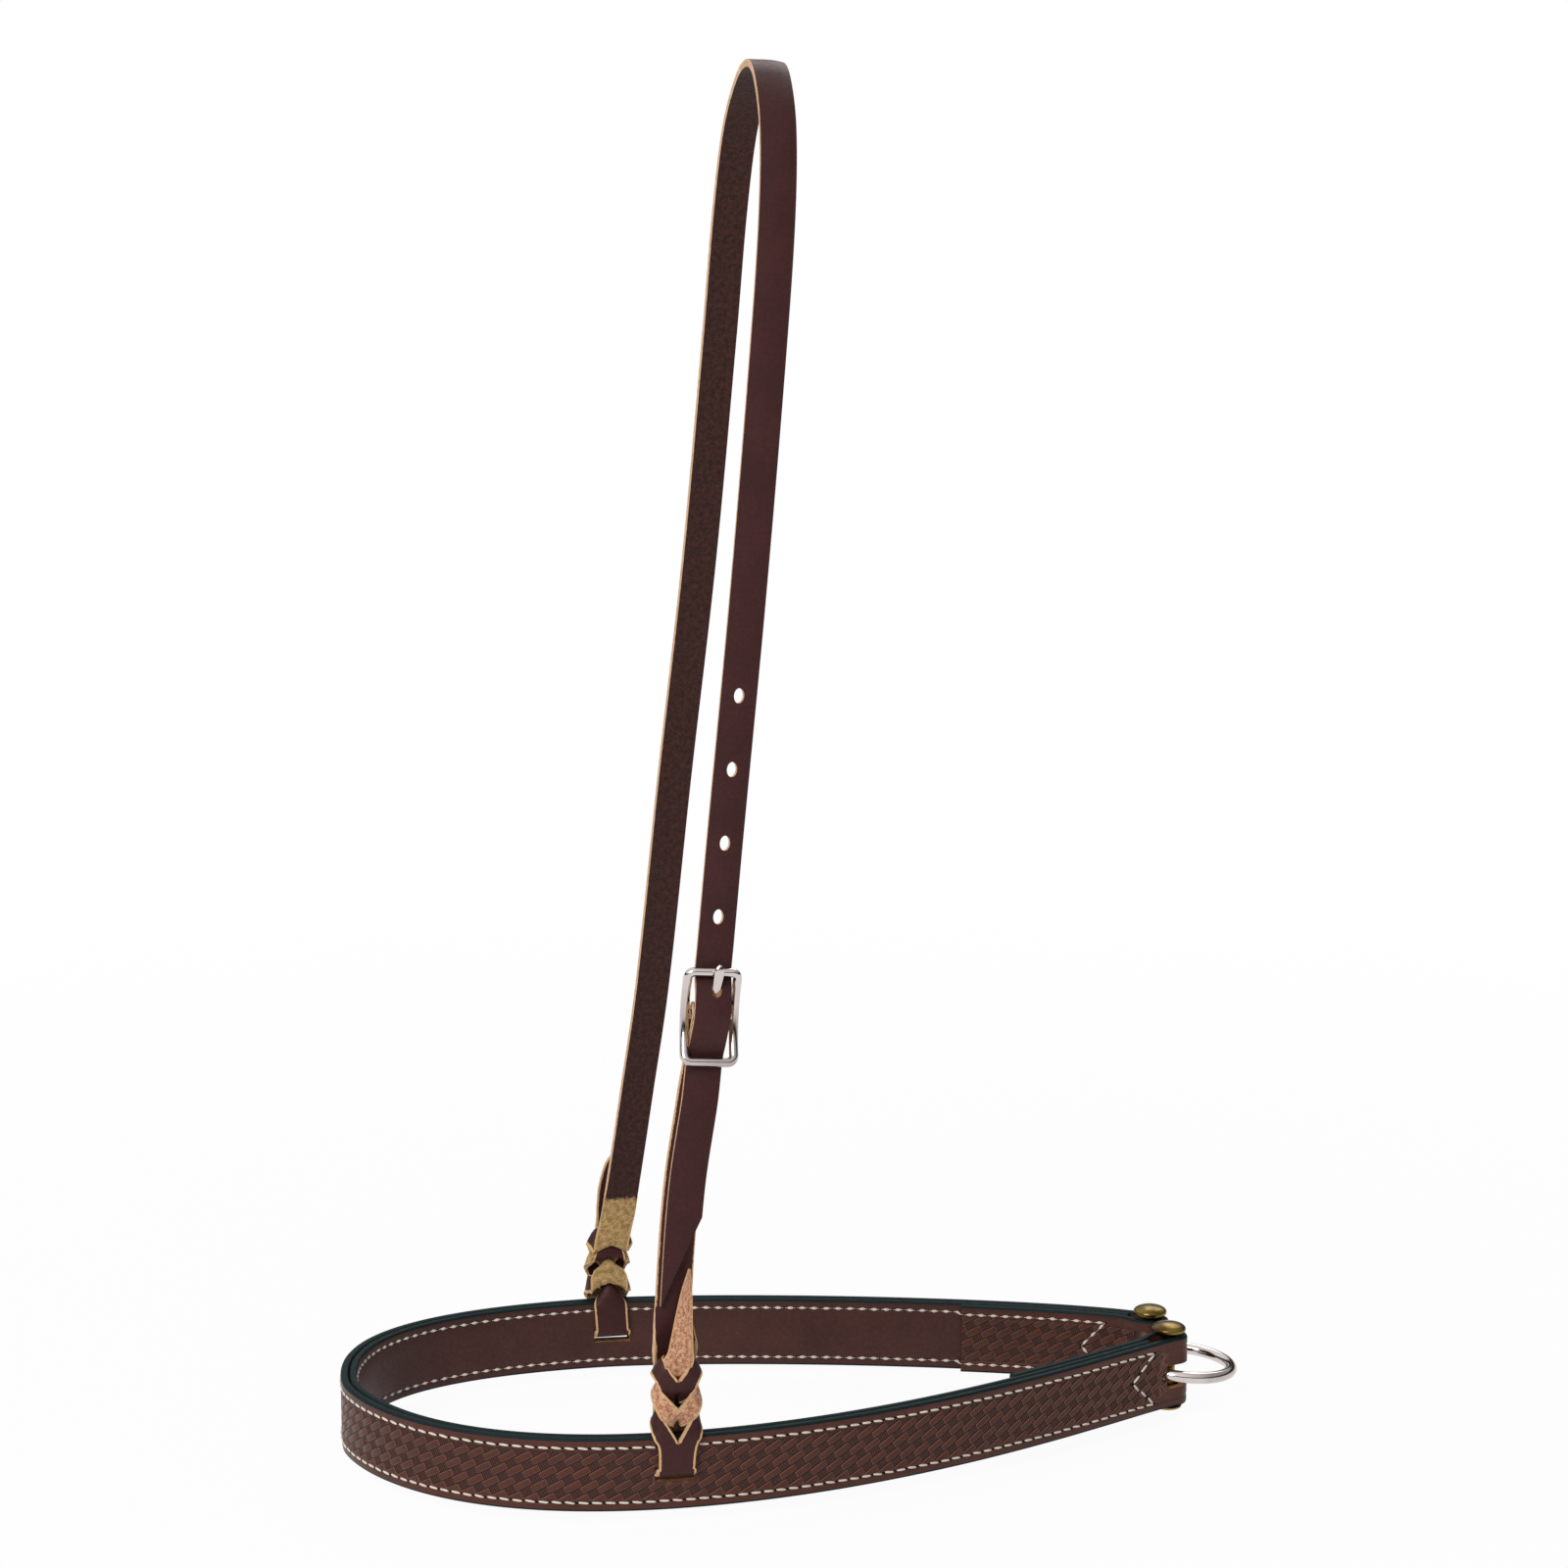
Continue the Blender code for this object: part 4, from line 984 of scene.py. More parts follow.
# %% The weave on the two ends that come back
for side, word in WORDS.items():
    low, high = sorted(from_end(side, s) for s in BACK_WEAVE)
    bm = stamped_sheet(low, high, mirrored=True)
    bend(bm, back_faces[side])
    weave = new_piece(f"{word}_end_basket_weave", bm, [tooled_bridle_leather])
    finish_piece(weave, "noseband", "band_leather")

# %% [markdown]
# ## Sewing
#
# A lockstitch has one thread on each side. Outside, where the stitches are 4.45 mm apart round the longer
# curve, each shows as a plump dash between two dark awl holes. Inside, the same holes are closer, and the
# thread is pulled down hard between them into a spindle. One stitch of each kind is spun from half its
# outline, repeated along its line in the flat, and bent onto the band.

# %% One stitch, and a line of them
STITCH_PITCH = 4.45
STITCH_PROUD = 0.16  # above the floor of the groove
AWL_R = 0.6
AWL_OVAL = (1.15, 0.72)
AWL_PROUD = 0.06
AWL_TILT = 4  # the awl's blade stands this many times as slanted as the stitches
WOBBLE = (0.05, 0.08, 0.06)  # by hand: radians of turn, and millimetres along and up
CHEVRON_FOOT = {-1: 12.0, 1: 19.2}  # distance of the seam's end from the near post and from the far post
CHEVRON_APEX = {-1: 22.8, 1: 28.4}
OUTSIDE_STITCH = [(-1.75, 0.0), (-1.6, 0.2), (-1.1, 0.36), (0.0, 0.42), (1.1, 0.36), (1.6, 0.2), (1.75, 0.0)]
INSIDE_STITCH = [(-2.1, 0.0), (-2.0, 0.07), (-1.2, 0.1), (-0.7, 0.42), (0.0, 0.55), (0.7, 0.42), (1.2, 0.1)]
INSIDE_STITCH += [(2.0, 0.07), (2.1, 0.0)]


def awl_mouth(bm):
    # A flat dark oval on the leather: painted shade where the hole's mouth lies.
    made = bmesh.ops.create_circle(bm, cap_ends=True, segments=8, radius=AWL_R)["verts"]
    bmesh.ops.scale(bm, vec=(*AWL_OVAL, 1.0), verts=made)
    faces = {f for v in made for f in v.link_faces}
    for f in faces:
        f.material_index = 1
        if f.normal.z < 0:
            f.normal_flip()
    return list(made) + list({e for v in made for e in v.link_edges}) + list(faces)


def repeat(bm, first, spots, proud, tilt, rng):
    """Copies of flat work at (along, up, angle), each a little different, as by hand."""
    for along, up, angle in spots:
        copy = bmesh.ops.duplicate(bm, geom=first)["geom"]
        moved = [g for g in copy if isinstance(g, bmesh.types.BMVert)]
        wobble = rng.uniform(-1, 1)
        turn = Matrix.Rotation(angle + tilt + WOBBLE[0] * wobble, 3, "Z")
        bmesh.ops.rotate(bm, cent=(0, 0, 0), matrix=turn, verts=moved)
        spot = (along + WOBBLE[1] * wobble, up + rng.uniform(-WOBBLE[2], WOBBLE[2]), proud)
        bmesh.ops.translate(bm, vec=spot, verts=moved)


def sewing(profile, tilt, seed):
    """All the sewing on one face, flat: the stitches of each seam, and the holes between them."""
    rng = random.Random(seed)
    bm = bmesh.new()
    spin_round(bm, line_through(bm, [(x, 0, r) for x, r in profile]), (1, 0, 0), 8)
    stitch = whole(bm)
    mouth = awl_mouth(bm)
    for start, end in seams:
        start, end = Vector(start), Vector(end)
        count = max(1, round((end - start).length / STITCH_PITCH))
        step = (end - start) / count
        angle = math.atan2(step.y, step.x)
        stitches = [(*(start + step * (k + 0.5)), angle) for k in range(count)]
        holes = [(*(start + step * k), angle) for k in range(count + 1)]
        repeat(bm, stitch, stitches, STITCH_PROUD - GROOVE, tilt, rng)
        repeat(bm, mouth, holes, AWL_PROUD - GROOVE, tilt * AWL_TILT, rng)
    spare = [g for g in stitch + mouth if isinstance(g, bmesh.types.BMVert)]
    bmesh.ops.delete(bm, geom=spare, context="VERTS")
    return bm


low, high = STITCH_IN, BAND_HIGH - STITCH_IN
foot = {side: from_end(side, CHEVRON_FOOT[side]) for side in WORDS}
seams = [((foot[-1], up), (foot[1], up)) for up in (low, high)]
for side in WORDS:
    apex = (from_end(side, CHEVRON_APEX[side]), BAND_HIGH / 2)
    seams += [((foot[side], low), apex), (apex, (foot[side], high))]
bm = sewing(OUTSIDE_STITCH, 0.09, 11)  # the outside stitches lean a little, the inside ones don't
bend(bm, front_face)
finish_piece(new_piece("outside_sewing", bm, [cream_thread, awl_hole]), "noseband", "band_leather")

# %% The sewing inside the band
bm = sewing(INSIDE_STITCH, 0.0, 12)
bend(bm, inside_face)
finish_piece(new_piece("inside_sewing", bm, [cream_thread, awl_hole]), "noseband", "lining_leather")

# %% [markdown]
# ## The hanger's leather
#
# The hanger is latigo strap, 11.8 mm wide. Each part is a flat blank again: a grid whose rows are spaced
# by the route, slit down the middle where the knot needs it, and cut at a slant at its end. It is then
# bent to its stations, and a Solidify modifier gives it thickness, with one material for the grain side,
# one for the flesh side and one for the cut edges.


# %% Routes and stations
STRAP_HALF = 5.9
STRAP_THICK = 2.5
KNOT_THICK = 1.6  # where it is pressed together in a knot
LEG_STEP = 1.25
NEAR_ROUTE = (  # (x, half width, height) up the near leg to the crown
    (-46.5, 74.5, 8.0), (-45.8, 74.5, 27.0), (-45.6, 74.3, 40.0), (-45.3, 72.9, 52.0), (-44.6, 71.1, 64.0),
    (-40.4, 65.7, 106.0), (-33.6, 61.3, 145.0), (-24.2, 53.0, 223.0), (-15.2, 46.6, 301.0),
    (-7.6, 42.6, 380.0), (-4.0, 39.0, 422.0), (-2.0, 31.0, 449.5), (-0.6, 15.0, 466.0),
)
FAR_ROUTE = (
    (-43.1, 71.5, 8.0), (-44.2, 71.5, 26.0), (-44.5, 71.4, 37.0), (-43.3, 71.0, 48.0), (-40.6, 70.2, 60.0),
    (-34.0, 65.3, 106.0), (-28.9, 61.3, 145.0), (-21.8, 53.0, 223.0), (-13.8, 46.6, 301.0),
    (-7.0, 42.6, 380.0), (-4.0, 39.0, 422.0), (-2.0, 31.0, 449.5), (-0.6, 15.0, 466.0),
)
CROWN_H = -BAND_BOTTOM + STRAP_THICK / 2
ACROSS = Vector((0.996, 0.0, -0.09))  # the way across both legs


def eased(table, column, at):
    """The value of a column at a height: a curve through the table's rows that never overshoots."""
    if at <= table[0][0]:
        return table[0][column]
    if at >= table[-1][0]:
        return table[-1][column]
    steps = [b[0] - a[0] for a, b in zip(table, table[1:])]
    slopes = [(b[column] - a[column]) / s for a, b, s in zip(table, table[1:], steps)]
    bends = [slopes[0]]
    for before, after, left, right in zip(slopes, slopes[1:], steps, steps[1:]):
        weights = (2 * right + left, right + 2 * left)
        same_way = before * after > 0
        bends.append(sum(weights) / (weights[0] / before + weights[1] / after) if same_way else 0.0)
    bends.append(slopes[-1])
    i = max(k for k in range(len(steps)) if table[k][0] <= at)
    t = (at - table[i][0]) / steps[i]
    return (
        (1 + 2 * t) * (1 - t) ** 2 * table[i][column]
        + t * (1 - t) ** 2 * steps[i] * bends[i]
        + t * t * (3 - 2 * t) * table[i + 1][column]
        - t * t * (1 - t) * steps[i] * bends[i + 1]
    )


def smooth_route(corners, spacing):
    """Points about this far apart on a smooth curve. The first and last corners only steer it."""
    found = []
    for before, start, end, after in zip(corners, corners[1:], corners[2:], corners[3:]):
        length = (end - start).length
        leave = (end - before) * length / (length + (start - before).length)
        arrive = (after - start) * length / (length + (after - end).length)
        count = max(1, round(length / spacing))
        for k in range(count):
            t = k / count
            found.append(
                start * (1 + 2 * t) * (1 - t) ** 2
                + leave * t * (1 - t) ** 2
                + end * t * t * (3 - 2 * t)
                - arrive * t * t * (1 - t)
            )
    found.append(corners[-2])
    return found


def leg_points(route, side):
    """A leg's middle line, from the band up to the crown. Side -1 is near."""
    corners = [point(x, side * half, height) for x, half, height in route]
    beyond = Vector((corners[-1].x, -corners[-1].y, corners[-1].z))
    below = corners[0] * 2 - corners[1]
    return smooth_route([below, *corners, point(0, 0, CROWN_H), beyond], LEG_STEP)


def at_height(line, height):
    z = BAND_BOTTOM + height
    for a, b in zip(line, line[1:]):
        if a.z <= z <= b.z:
            return a.lerp(b, (z - a.z) / (b.z - a.z))
    return line[0]


near_leg = leg_points(NEAR_ROUTE, -1)
far_leg = leg_points(FAR_ROUTE, 1)
print("each leg has about", len(near_leg), "points")

# %% [markdown]
# ## The bleed knot
#
# The strap goes down outside the band, in through its slot and up inside. There are then two legs beside
# each other, and each is passed through a slit in the other, three times in all, and pulled tight. The
# halves beside a slit end up as flat arms that wrap round the other leg, which is what gives the plaited
# look. Nothing simple has that shape, so it is laid as a row of places: for each, where the edge of the
# slit lies (or the strap's middle, where there is no slit) and where the strap's own edge lies.

# %% The knot's stations
OUTER_LEG = (  # (aside, away, height) of the slit's edge or the middle, the same of the edge, and a shift
    (0.0, 4.7, 14.9, 5.9, 4.7, 14.9, 0), (0.0, 4.9, 20.0, 6.1, 4.8, 20.0, 0),
    (0.0, 5.3, 23.6, 6.8, 4.8, 23.6, 0),  # the first slit starts, as a V
    (1.2, 5.5, 26.3, 7.7, 4.4, 25.0, 0), (3.0, 5.2, 29.3, 8.0, 3.2, 26.6, 0),
    (4.9, 4.0, 32.4, 7.9, 1.4, 27.8, 0), (6.0, 1.6, 34.4, 7.7, -0.8, 28.4, 0),
    (4.2, -1.8, 34.4, 7.4, -2.8, 28.8, 0), (2.0, -3.6, 33.6, 7.0, -3.8, 29.6, 0),
    (0.0, -4.2, 33.3, 6.8, -4.0, 31.2, 0),  # it ends behind, over the other leg
    (0.0, -4.2, 36.0, 6.7, -3.6, 34.4, 0), (0.0, -2.8, 39.0, 5.2, -3.2, 37.0, 0),
    (0.0, -0.2, 40.2, 2.6, -1.2, 37.0, 0), (0.0, 2.4, 40.6, 1.6, 1.6, 36.4, 0),
    (0.0, 4.0, 41.2, 3.2, 2.8, 38.4, 0), (0.0, 5.0, 42.6, 5.6, 3.4, 41.2, 0),
    (0.0, 5.3, 44.5, 7.0, 3.8, 44.3, 0),  # the second slit starts
    (2.2, 5.4, 47.7, 7.8, 2.9, 45.6, 0), (4.4, 3.6, 51.4, 7.9, 0.8, 46.2, 0),
    (3.6, 0.2, 51.4, 7.4, -1.4, 45.8, 0), (1.6, -2.2, 48.8, 6.8, -2.6, 44.8, 0),
    (0.0, -3.0, 47.3, 6.5, -2.9, 44.2, 0),  # and ends behind
)
OUTER_TOP = {
    -1: (
        (0.0, -3.0, 50.0, 6.9, -2.2, 48.6, 0), (0.0, -2.8, 54.0, 7.3, -0.6, 54.0, 0),
        (0.0, -2.2, 58.0, 6.8, -0.6, 58.0, -0.3), (0.0, -1.6, 62.0, 6.4, -1.0, 62.0, -0.8),
        (0.0, -1.4, 66.0, 6.0, -1.4, 66.0, -1.2),
    ),
    1: (
        (0.0, -3.0, 50.0, 6.3, -2.6, 48.6, 0), (0.0, -2.6, 54.0, 6.2, -2.2, 54.0, 0),
        (0.0, -2.0, 60.0, 6.1, -1.8, 60.0, 0), (0.0, -1.4, 66.0, 6.0, -1.4, 66.0, 0),
    ),
}
INNER_LEG = (
    (0.0, -4.7, 14.9, 5.9, -4.7, 14.9, 0), (0.0, -4.8, 20.0, 5.9, -4.7, 20.0, 0),
    (0.0, -5.0, 24.0, 5.9, -4.4, 23.0, 0), (0.0, -4.6, 28.5, 5.2, -3.4, 25.0, 0),
    (0.0, -3.0, 31.6, 3.4, -1.6, 27.0, 0), (0.0, -0.2, 32.6, 1.8, 0.4, 28.5, 0),
    (0.0, 2.8, 32.0, 2.0, 2.8, 29.0, 0), (0.0, 4.6, 32.6, 4.4, 4.6, 31.2, 0),
    (0.0, 5.6, 33.6, 6.3, 5.2, 33.0, 0),
    (0.0, 6.0, 35.3, 7.2, 4.9, 34.8, 0),  # its slit starts
    (1.6, 6.0, 37.4, 7.6, 4.2, 36.0, 0), (3.8, 5.2, 39.8, 7.7, 2.6, 37.2, 0),
    (5.6, 3.2, 42.2, 7.6, 0.4, 38.4, 0), (5.4, 0.4, 43.6, 7.3, -1.6, 39.4, 0),
    (3.2, -1.6, 43.2, 6.6, -2.4, 40.4, 0),
    (0.0, -2.2, 42.8, 5.8, -2.2, 42.0, 0),  # and ends behind
    (0.0, -1.6, 45.2, 4.8, -1.4, 44.0, 0), (0.0, -0.2, 46.8, 3.4, -0.2, 45.0, 0),
    (0.0, 2.2, 46.4, 2.2, 2.2, 44.8, 0), (0.0, 3.7, 46.8, 3.2, 3.9, 46.2, 0),
    (0.0, 4.7, 49.2, 4.4, 4.8, 49.0, 0),
)
INNER_TAIL = {
    -1: (
        (0.0, 5.7, 52.0, 5.0, 5.3, 52.0, 0.0), (0.0, 5.6, 54.0, 4.3, 5.2, 54.0, 0.5),
        (0.0, 5.0, 58.0, 3.7, 4.7, 58.0, 1.0), (0.0, 4.4, 61.0, 3.3, 4.2, 61.0, 1.3),
        (0.0, 3.4, 67.0, 2.6, 3.2, 67.0, 1.8), (0.0, 3.0, 73.0, 1.8, 2.9, 73.0, 2.2),
        (0.0, 2.9, 80.5, 0.35, 2.9, 80.5, 2.8),
    ),
    1: (
        (0.0, 5.4, 53.0, 5.7, 5.2, 53.0, 0.0), (0.0, 5.5, 60.0, 5.0, 5.3, 60.0, -1.9),
        (0.0, 5.9, 68.0, 4.6, 5.8, 68.0, -2.7), (0.0, 6.7, 74.0, 4.1, 6.6, 74.0, -2.4),
        (0.0, 6.9, 77.5, 3.2, 6.8, 77.5, -2.1), (0.0, 7.0, 79.5, 1.4, 6.9, 79.5, -2.0),
    ),
}
KNOT_TOP = 66.0
KNOT_STEP = 0.8
SLIT_FROM = 0.12  # a row whose edge of the slit is further aside than this is open
ARM_CURVE = 1.7  # above 1, an arm keeps to its slit's side at first and bends to its edge later
PRESSED_TO = 56.0  # height to which the leather is pressed together
THREAD_H = 12.8  # height at which the strap goes through the slot, and the radius of its bends there
THREAD_R = 2.1
THREAD_AWAY = 4.7
THREAD_HALF = 6.5  # the strap spreads a little where it is squeezed through the slot
UNDYED_TOP = 64.4  # height where the dye of the flesh side stops


class Station:
    """One place along a strap: its slit or middle and its edges, left and right, and its leather."""

    def __init__(self, inner, edge, slit=False, full=1.0, undyed=0.0, raw=0.0):
        self.inner, self.edge, self.slit = inner, edge, slit
        self.full, self.undyed, self.raw = full, undyed, raw

    def place(self, column, side):
        inner = self.inner[side > 0] if side else self.inner[0].lerp(self.inner[1], 0.5)
        edge = self.edge[side > 0]
        bent = inner.lerp(edge, abs(column) ** ARM_CURVE)
        return Vector((inner.lerp(edge, abs(column)).x, bent.y, bent.z))


def plain_station(middle, across, *leather, lower=Vector()):
    """A place without a slit, from its middle and the way to its right edge."""
    return Station((middle, middle), (middle - across - lower, middle + across - lower), False, *leather)


def undyed_at(height):
    return 1.0 - smooth_step(height, UNDYED_TOP - 3, UNDYED_TOP + 3)


def knot_stations(line, side, outer):
    """One leg of a knot, going up: the leg that is outside at the band, or the other."""
    out = Vector((0, side, 0))
    rows = OUTER_LEG + OUTER_TOP[side] if outer else INNER_LEG + INNER_TAIL[side]
    table = []
    length = 0.0
    for before, row in zip((rows[0], *rows), rows):
        length += max(math.dist(before[:3], row[:3]), math.dist(before[3:6], row[3:6]))
        table.append((length, *row))
    count = round(length / KNOT_STEP)
    for k in range(count + 1):
        x, away, height, edge_x, edge_away, edge_height, shift = (
            eased(table, c, length * k / count) for c in range(1, 8)
        )
        middle = at_height(line, height) + out * away + Vector((shift, 0, 0))
        edge = at_height(line, edge_height) + out * edge_away + Vector((shift, 0, 0))
        leather = (0.0, 1.0, 1.0)
        if outer:
            full = max(0.0, (height - PRESSED_TO) / (KNOT_TOP - PRESSED_TO))
            leather = (full, undyed_at(height), 1.0 - smooth_step(height, 54.0, 60.0))
        inner_pair = [middle + Vector((way * x, 0, 0)) for way in (-1, 1)]
        edge_pair = [edge + Vector((way * edge_x, 0, 0)) for way in (-1, 1)]
        yield Station(inner_pair, edge_pair, x > SLIT_FROM, *leather)


def thread_stations(line, side):
    """The strap's way in through the slot, from outside to inside."""
    lowest = at_height(line, THREAD_H)
    for sign, angles in ((1, arc(7.5, 89.9, 8)), (-1, arc(90, 7.6, 8))):
        for angle in angles:
            away = sign * (THREAD_AWAY - THREAD_R + THREAD_R * math.cos(angle))
            height = THREAD_H + THREAD_R * (1 - math.sin(angle))
            middle = Vector((lowest.x, lowest.y + side * away, BAND_BOTTOM + height))
            yield plain_station(middle, Vector((THREAD_HALF, 0, 0)), 0.0, 1.0, 1.0)


print("a knot leg has", len(list(knot_stations(near_leg, -1, True))), "stations")

# %% [markdown]
# ## Laying a strap
#
# The same function makes both parts of the hanger. The flat blank keeps its own measures while it is
# slit and cut. Only then is every point moved to its place, between the two stations it lies between.

# %% From a flat blank to a strap
COLUMNS = 8
CUT_EDGE = 0.5  # where the knife's cut shows beside the surface
MIDDLE = 0.01  # a point nearer to the middle column than this is on it


def flat_reach(stations):
    """Where each station lies along the flat blank."""
    reach = [0.0]
    for a, b in zip(stations, stations[1:]):
        reach.append(reach[-1] + max((b.place(0.5, 1) - a.place(0.5, 1)).length, 0.05))
    return reach


def lay_strap(name, stations, flesh, cut=None):
    """A strap through these stations. The cut is a point of the blank and the way to throw away."""
    last = len(stations) - 1
    reach = flat_reach(stations)
    bm = bmesh.new()
    bmesh.ops.create_grid(bm, x_segments=COLUMNS, y_segments=last, size=1.0)
    flat = bm.loops.layers.uv.new("flat")
    undyed = bm.verts.layers.float.new("undyed")
    raw = bm.verts.layers.float.new("raw")
    rows = {vert: round((vert.co.y + 1) / 2 * last) for vert in bm.verts}
    for vert, row in rows.items():
        vert.co.y = reach[row]
    middle = [e for e in bm.edges if all(abs(v.co.x) < MIDDLE for v in e.verts)]
    slits = [e for e in middle if any(stations[rows[v]].slit for v in e.verts)]
    bmesh.ops.split_edges(bm, edges=slits)
    if cut:
        co, no = ((*pair, 0) for pair in cut)
        bmesh.ops.bisect_plane(bm, geom=whole(bm), dist=1e-4, plane_co=co, plane_no=no, clear_outer=True)
    sides = {}
    for vert in bm.verts:
        lean = sum(f.calc_center_median().x for f in vert.link_faces) / max(1, len(vert.link_faces))
        sides[vert] = math.copysign(1, vert.co.x if abs(vert.co.x) > 2 * MIDDLE else lean)
        if abs(vert.co.x) < MIDDLE and abs(lean) < MIDDLE:
            sides[vert] = 0
    for f in bm.faces:
        for loop in f.loops:
            loop[flat].uv = (loop.vert.co.x * STRAP_HALF, loop.vert.co.y)
    fulls = []
    for vert, side in sides.items():
        column, along = vert.co.x, vert.co.y
        k = min(max(bisect_right(reach, along + 1e-5) - 1, 0), last - 1)
        t = min(1.0, max(0.0, (along - reach[k]) / (reach[k + 1] - reach[k])))
        a, b = stations[k], stations[k + 1]
        vert.co = a.place(column, side).lerp(b.place(column, side), t) * MM
        vert[undyed] = a.undyed * (1 - t) + b.undyed * t
        if abs(column) > 0.98 or (abs(column) < MIDDLE and side):
            vert[raw] = a.raw * (1 - t) + b.raw * t
        fulls.append(a.full * (1 - t) + b.full * t)
    bm.normal_update()
    piece = new_piece(name, bm, [waxed_latigo_leather, flesh, raw_strap_edge])
    group = piece.vertex_groups.new(name="full_thickness")
    for index, weight in enumerate(fulls):
        group.add([index], weight, "REPLACE")
    skin = piece.modifiers.new("Thickness", "SOLIDIFY")
    skin.thickness = STRAP_THICK * MM
    skin.offset = 0.0
    skin.vertex_group = group.name
    skin.thickness_vertex_group = KNOT_THICK / STRAP_THICK
    skin.material_offset = 1
    skin.material_offset_rim = 2
    knife = piece.modifiers.new("Cut", "BEVEL")
    knife.width = CUT_EDGE * MM
    knife.segments = 1
    knife.limit_method = "ANGLE"
    knife.angle_limit = math.radians(60)
    knife.material = 2
    return piece


def turn_grain_out(piece, index):
    """Turns the blank over, if the grain of this face, which lies outside on the near leg, looks in."""
    if piece.data.polygons[index].normal.y > 0:
        piece.data.flip_normals()


print("a blank has", COLUMNS + 1, "points across")

# %% [markdown]
# ## The crown strap
#
# The long part starts as a pointed billet on the near side, goes up through the buckle and over the
# crown, and comes down the far side to its knot. The buckle lifts it off the short strap behind, over
# the middle bar. Its holes are punched oval, and the one in use is pulled longer by the tongue.

# %% Build the crown strap
BAR_H = 162.5
BAR_R = 1.4
FOLD_R = BAR_R + 0.45 + STRAP_THICK / 2
BILLET_ROUTE = (  # (height, distance outwards from the leg's line)
    (60, 1.4), (132, 1.4), (147.3, -0.2), (155, 3.0), (162.5, 6.0), (168, 5.0), (172, 3.2), (175.5, 0.8),
    (178.5, -0.25), (186, 0.0), (192, 0.0), (480, 0.0),
)
FAR_SETTLE = ((64, -1.4), (110, 0.0))
AT_BUCKLE = (140, 185)  # heights between which a strap bends sharply, and so needs more stations
AT_CROWN = (440, 480)
BILLET_SHORT = 66.0  # heights of the two corners of the billet's slanting end
BILLET_LONG = 97.0
CROWNED = 0.35  # a strap's edges lie this much lower than its middle
HOLE_H = 170.9
HOLE_PITCH = 24.0
HOLES = 5
HOLE_HALF = (1.7, 2.5)
USED_HOLE_HALF = (1.65, 2.8)
USED_HOLE_OUT = 3.1  # the hole in use stands off the leg's line, and leans with the strap over the bar
USED_HOLE_LEAN = math.radians(24)
TONGUE_ASIDE = 0.9


def leg_axes(along, at):
    """A frame on a leg: across the strap, out of it and up along it."""
    across = (ACROSS - along * along.dot(ACROSS)).normalized()
    return axes(across, across.cross(along), along, at)


def leg_frame(line, height):
    along = (at_height(line, height + 3) - at_height(line, height - 3)).normalized()
    return leg_axes(along, at_height(line, height))


def leg_stations(line, low, high, away, aside=((0, 0.0), (480, 0.0)), raw=0.0, dense=(AT_BUCKLE, AT_CROWN)):
    """Stations on a leg between two heights: every second point of its line, or each one where it bends."""
    for k, at in enumerate(line):
        height = at.z - BAND_BOTTOM
        if low < height < high and (k % 2 == 0 or any(a < height < b for a, b in dense)):
            tangent = (line[min(k + 1, len(line) - 1)] - line[max(k - 1, 0)]).normalized()
            across, out, _ = leg_axes(tangent, at).to_3x3().transposed()
            middle = at + out * eased(away, 1, height) + across * eased(aside, 1, height)
            leather = (1.0, undyed_at(height), raw)
            yield plain_station(middle, across * STRAP_HALF, *leather, lower=out * CROWNED)


def oval_punch(piece, name, place, half_wide, half_long):
    """A round punch, stretched along the strap, through a piece."""
    bm = bmesh.new()
    bmesh.ops.create_cone(bm, cap_ends=True, segments=24, radius1=1.0, radius2=1.0, depth=12.0)
    bmesh.ops.rotate(bm, cent=(0, 0, 0), matrix=Matrix.Rotation(math.radians(90), 3, "X"), verts=bm.verts)
    bmesh.ops.scale(bm, vec=(half_wide, 1.0, half_long), verts=bm.verts)
    punch_out(piece, name, bm, place)


stations = list(leg_stations(near_leg, BILLET_SHORT - 4, 480, BILLET_ROUTE))
reach = flat_reach(stations)
heights = [at.inner[0].z - BAND_BOTTOM for at in stations]
short = next(along for along, height in zip(reach, heights) if height > BILLET_SHORT)
long = next(along for along, height in zip(reach, heights) if height > BILLET_LONG)
down_far = list(leg_stations(far_leg[::-1], KNOT_TOP + 1.5, 480, FAR_SETTLE, dense=(AT_CROWN,)))
stations += down_far[2:]  # the first two are too near to the last ones of the near leg
stations += reversed(list(knot_stations(far_leg, 1, True)))
stations += thread_stations(far_leg, 1)
stations += knot_stations(far_leg, 1, False)
crown_strap = lay_strap("crown_strap_leather", stations, far_flesh, ((-1.0, short), (long - short, -2.0)))
turn_grain_out(crown_strap, len(crown_strap.data.polygons) // 4)
for k in range(HOLES):
    place = leg_frame(near_leg, HOLE_H + HOLE_PITCH * k)
    if k == 0:
        place = place @ Matrix.Translation((TONGUE_ASIDE, USED_HOLE_OUT, 0.0))
        place = place @ Matrix.Rotation(USED_HOLE_LEAN, 4, "X")
    oval_punch(crown_strap, f"billet_punch_{k + 1}", place, *(HOLE_HALF if k else USED_HOLE_HALF))
settle(crown_strap)
finish_piece(crown_strap, "hanger", "strap_leather", "crown_strap")

# %% [markdown]
# ## The cheek strap
#
# The short part is knotted to the near side of the band. It runs up behind the billet, round the middle
# bar of the buckle and back down inside itself, with a slot at the fold for the tongue.

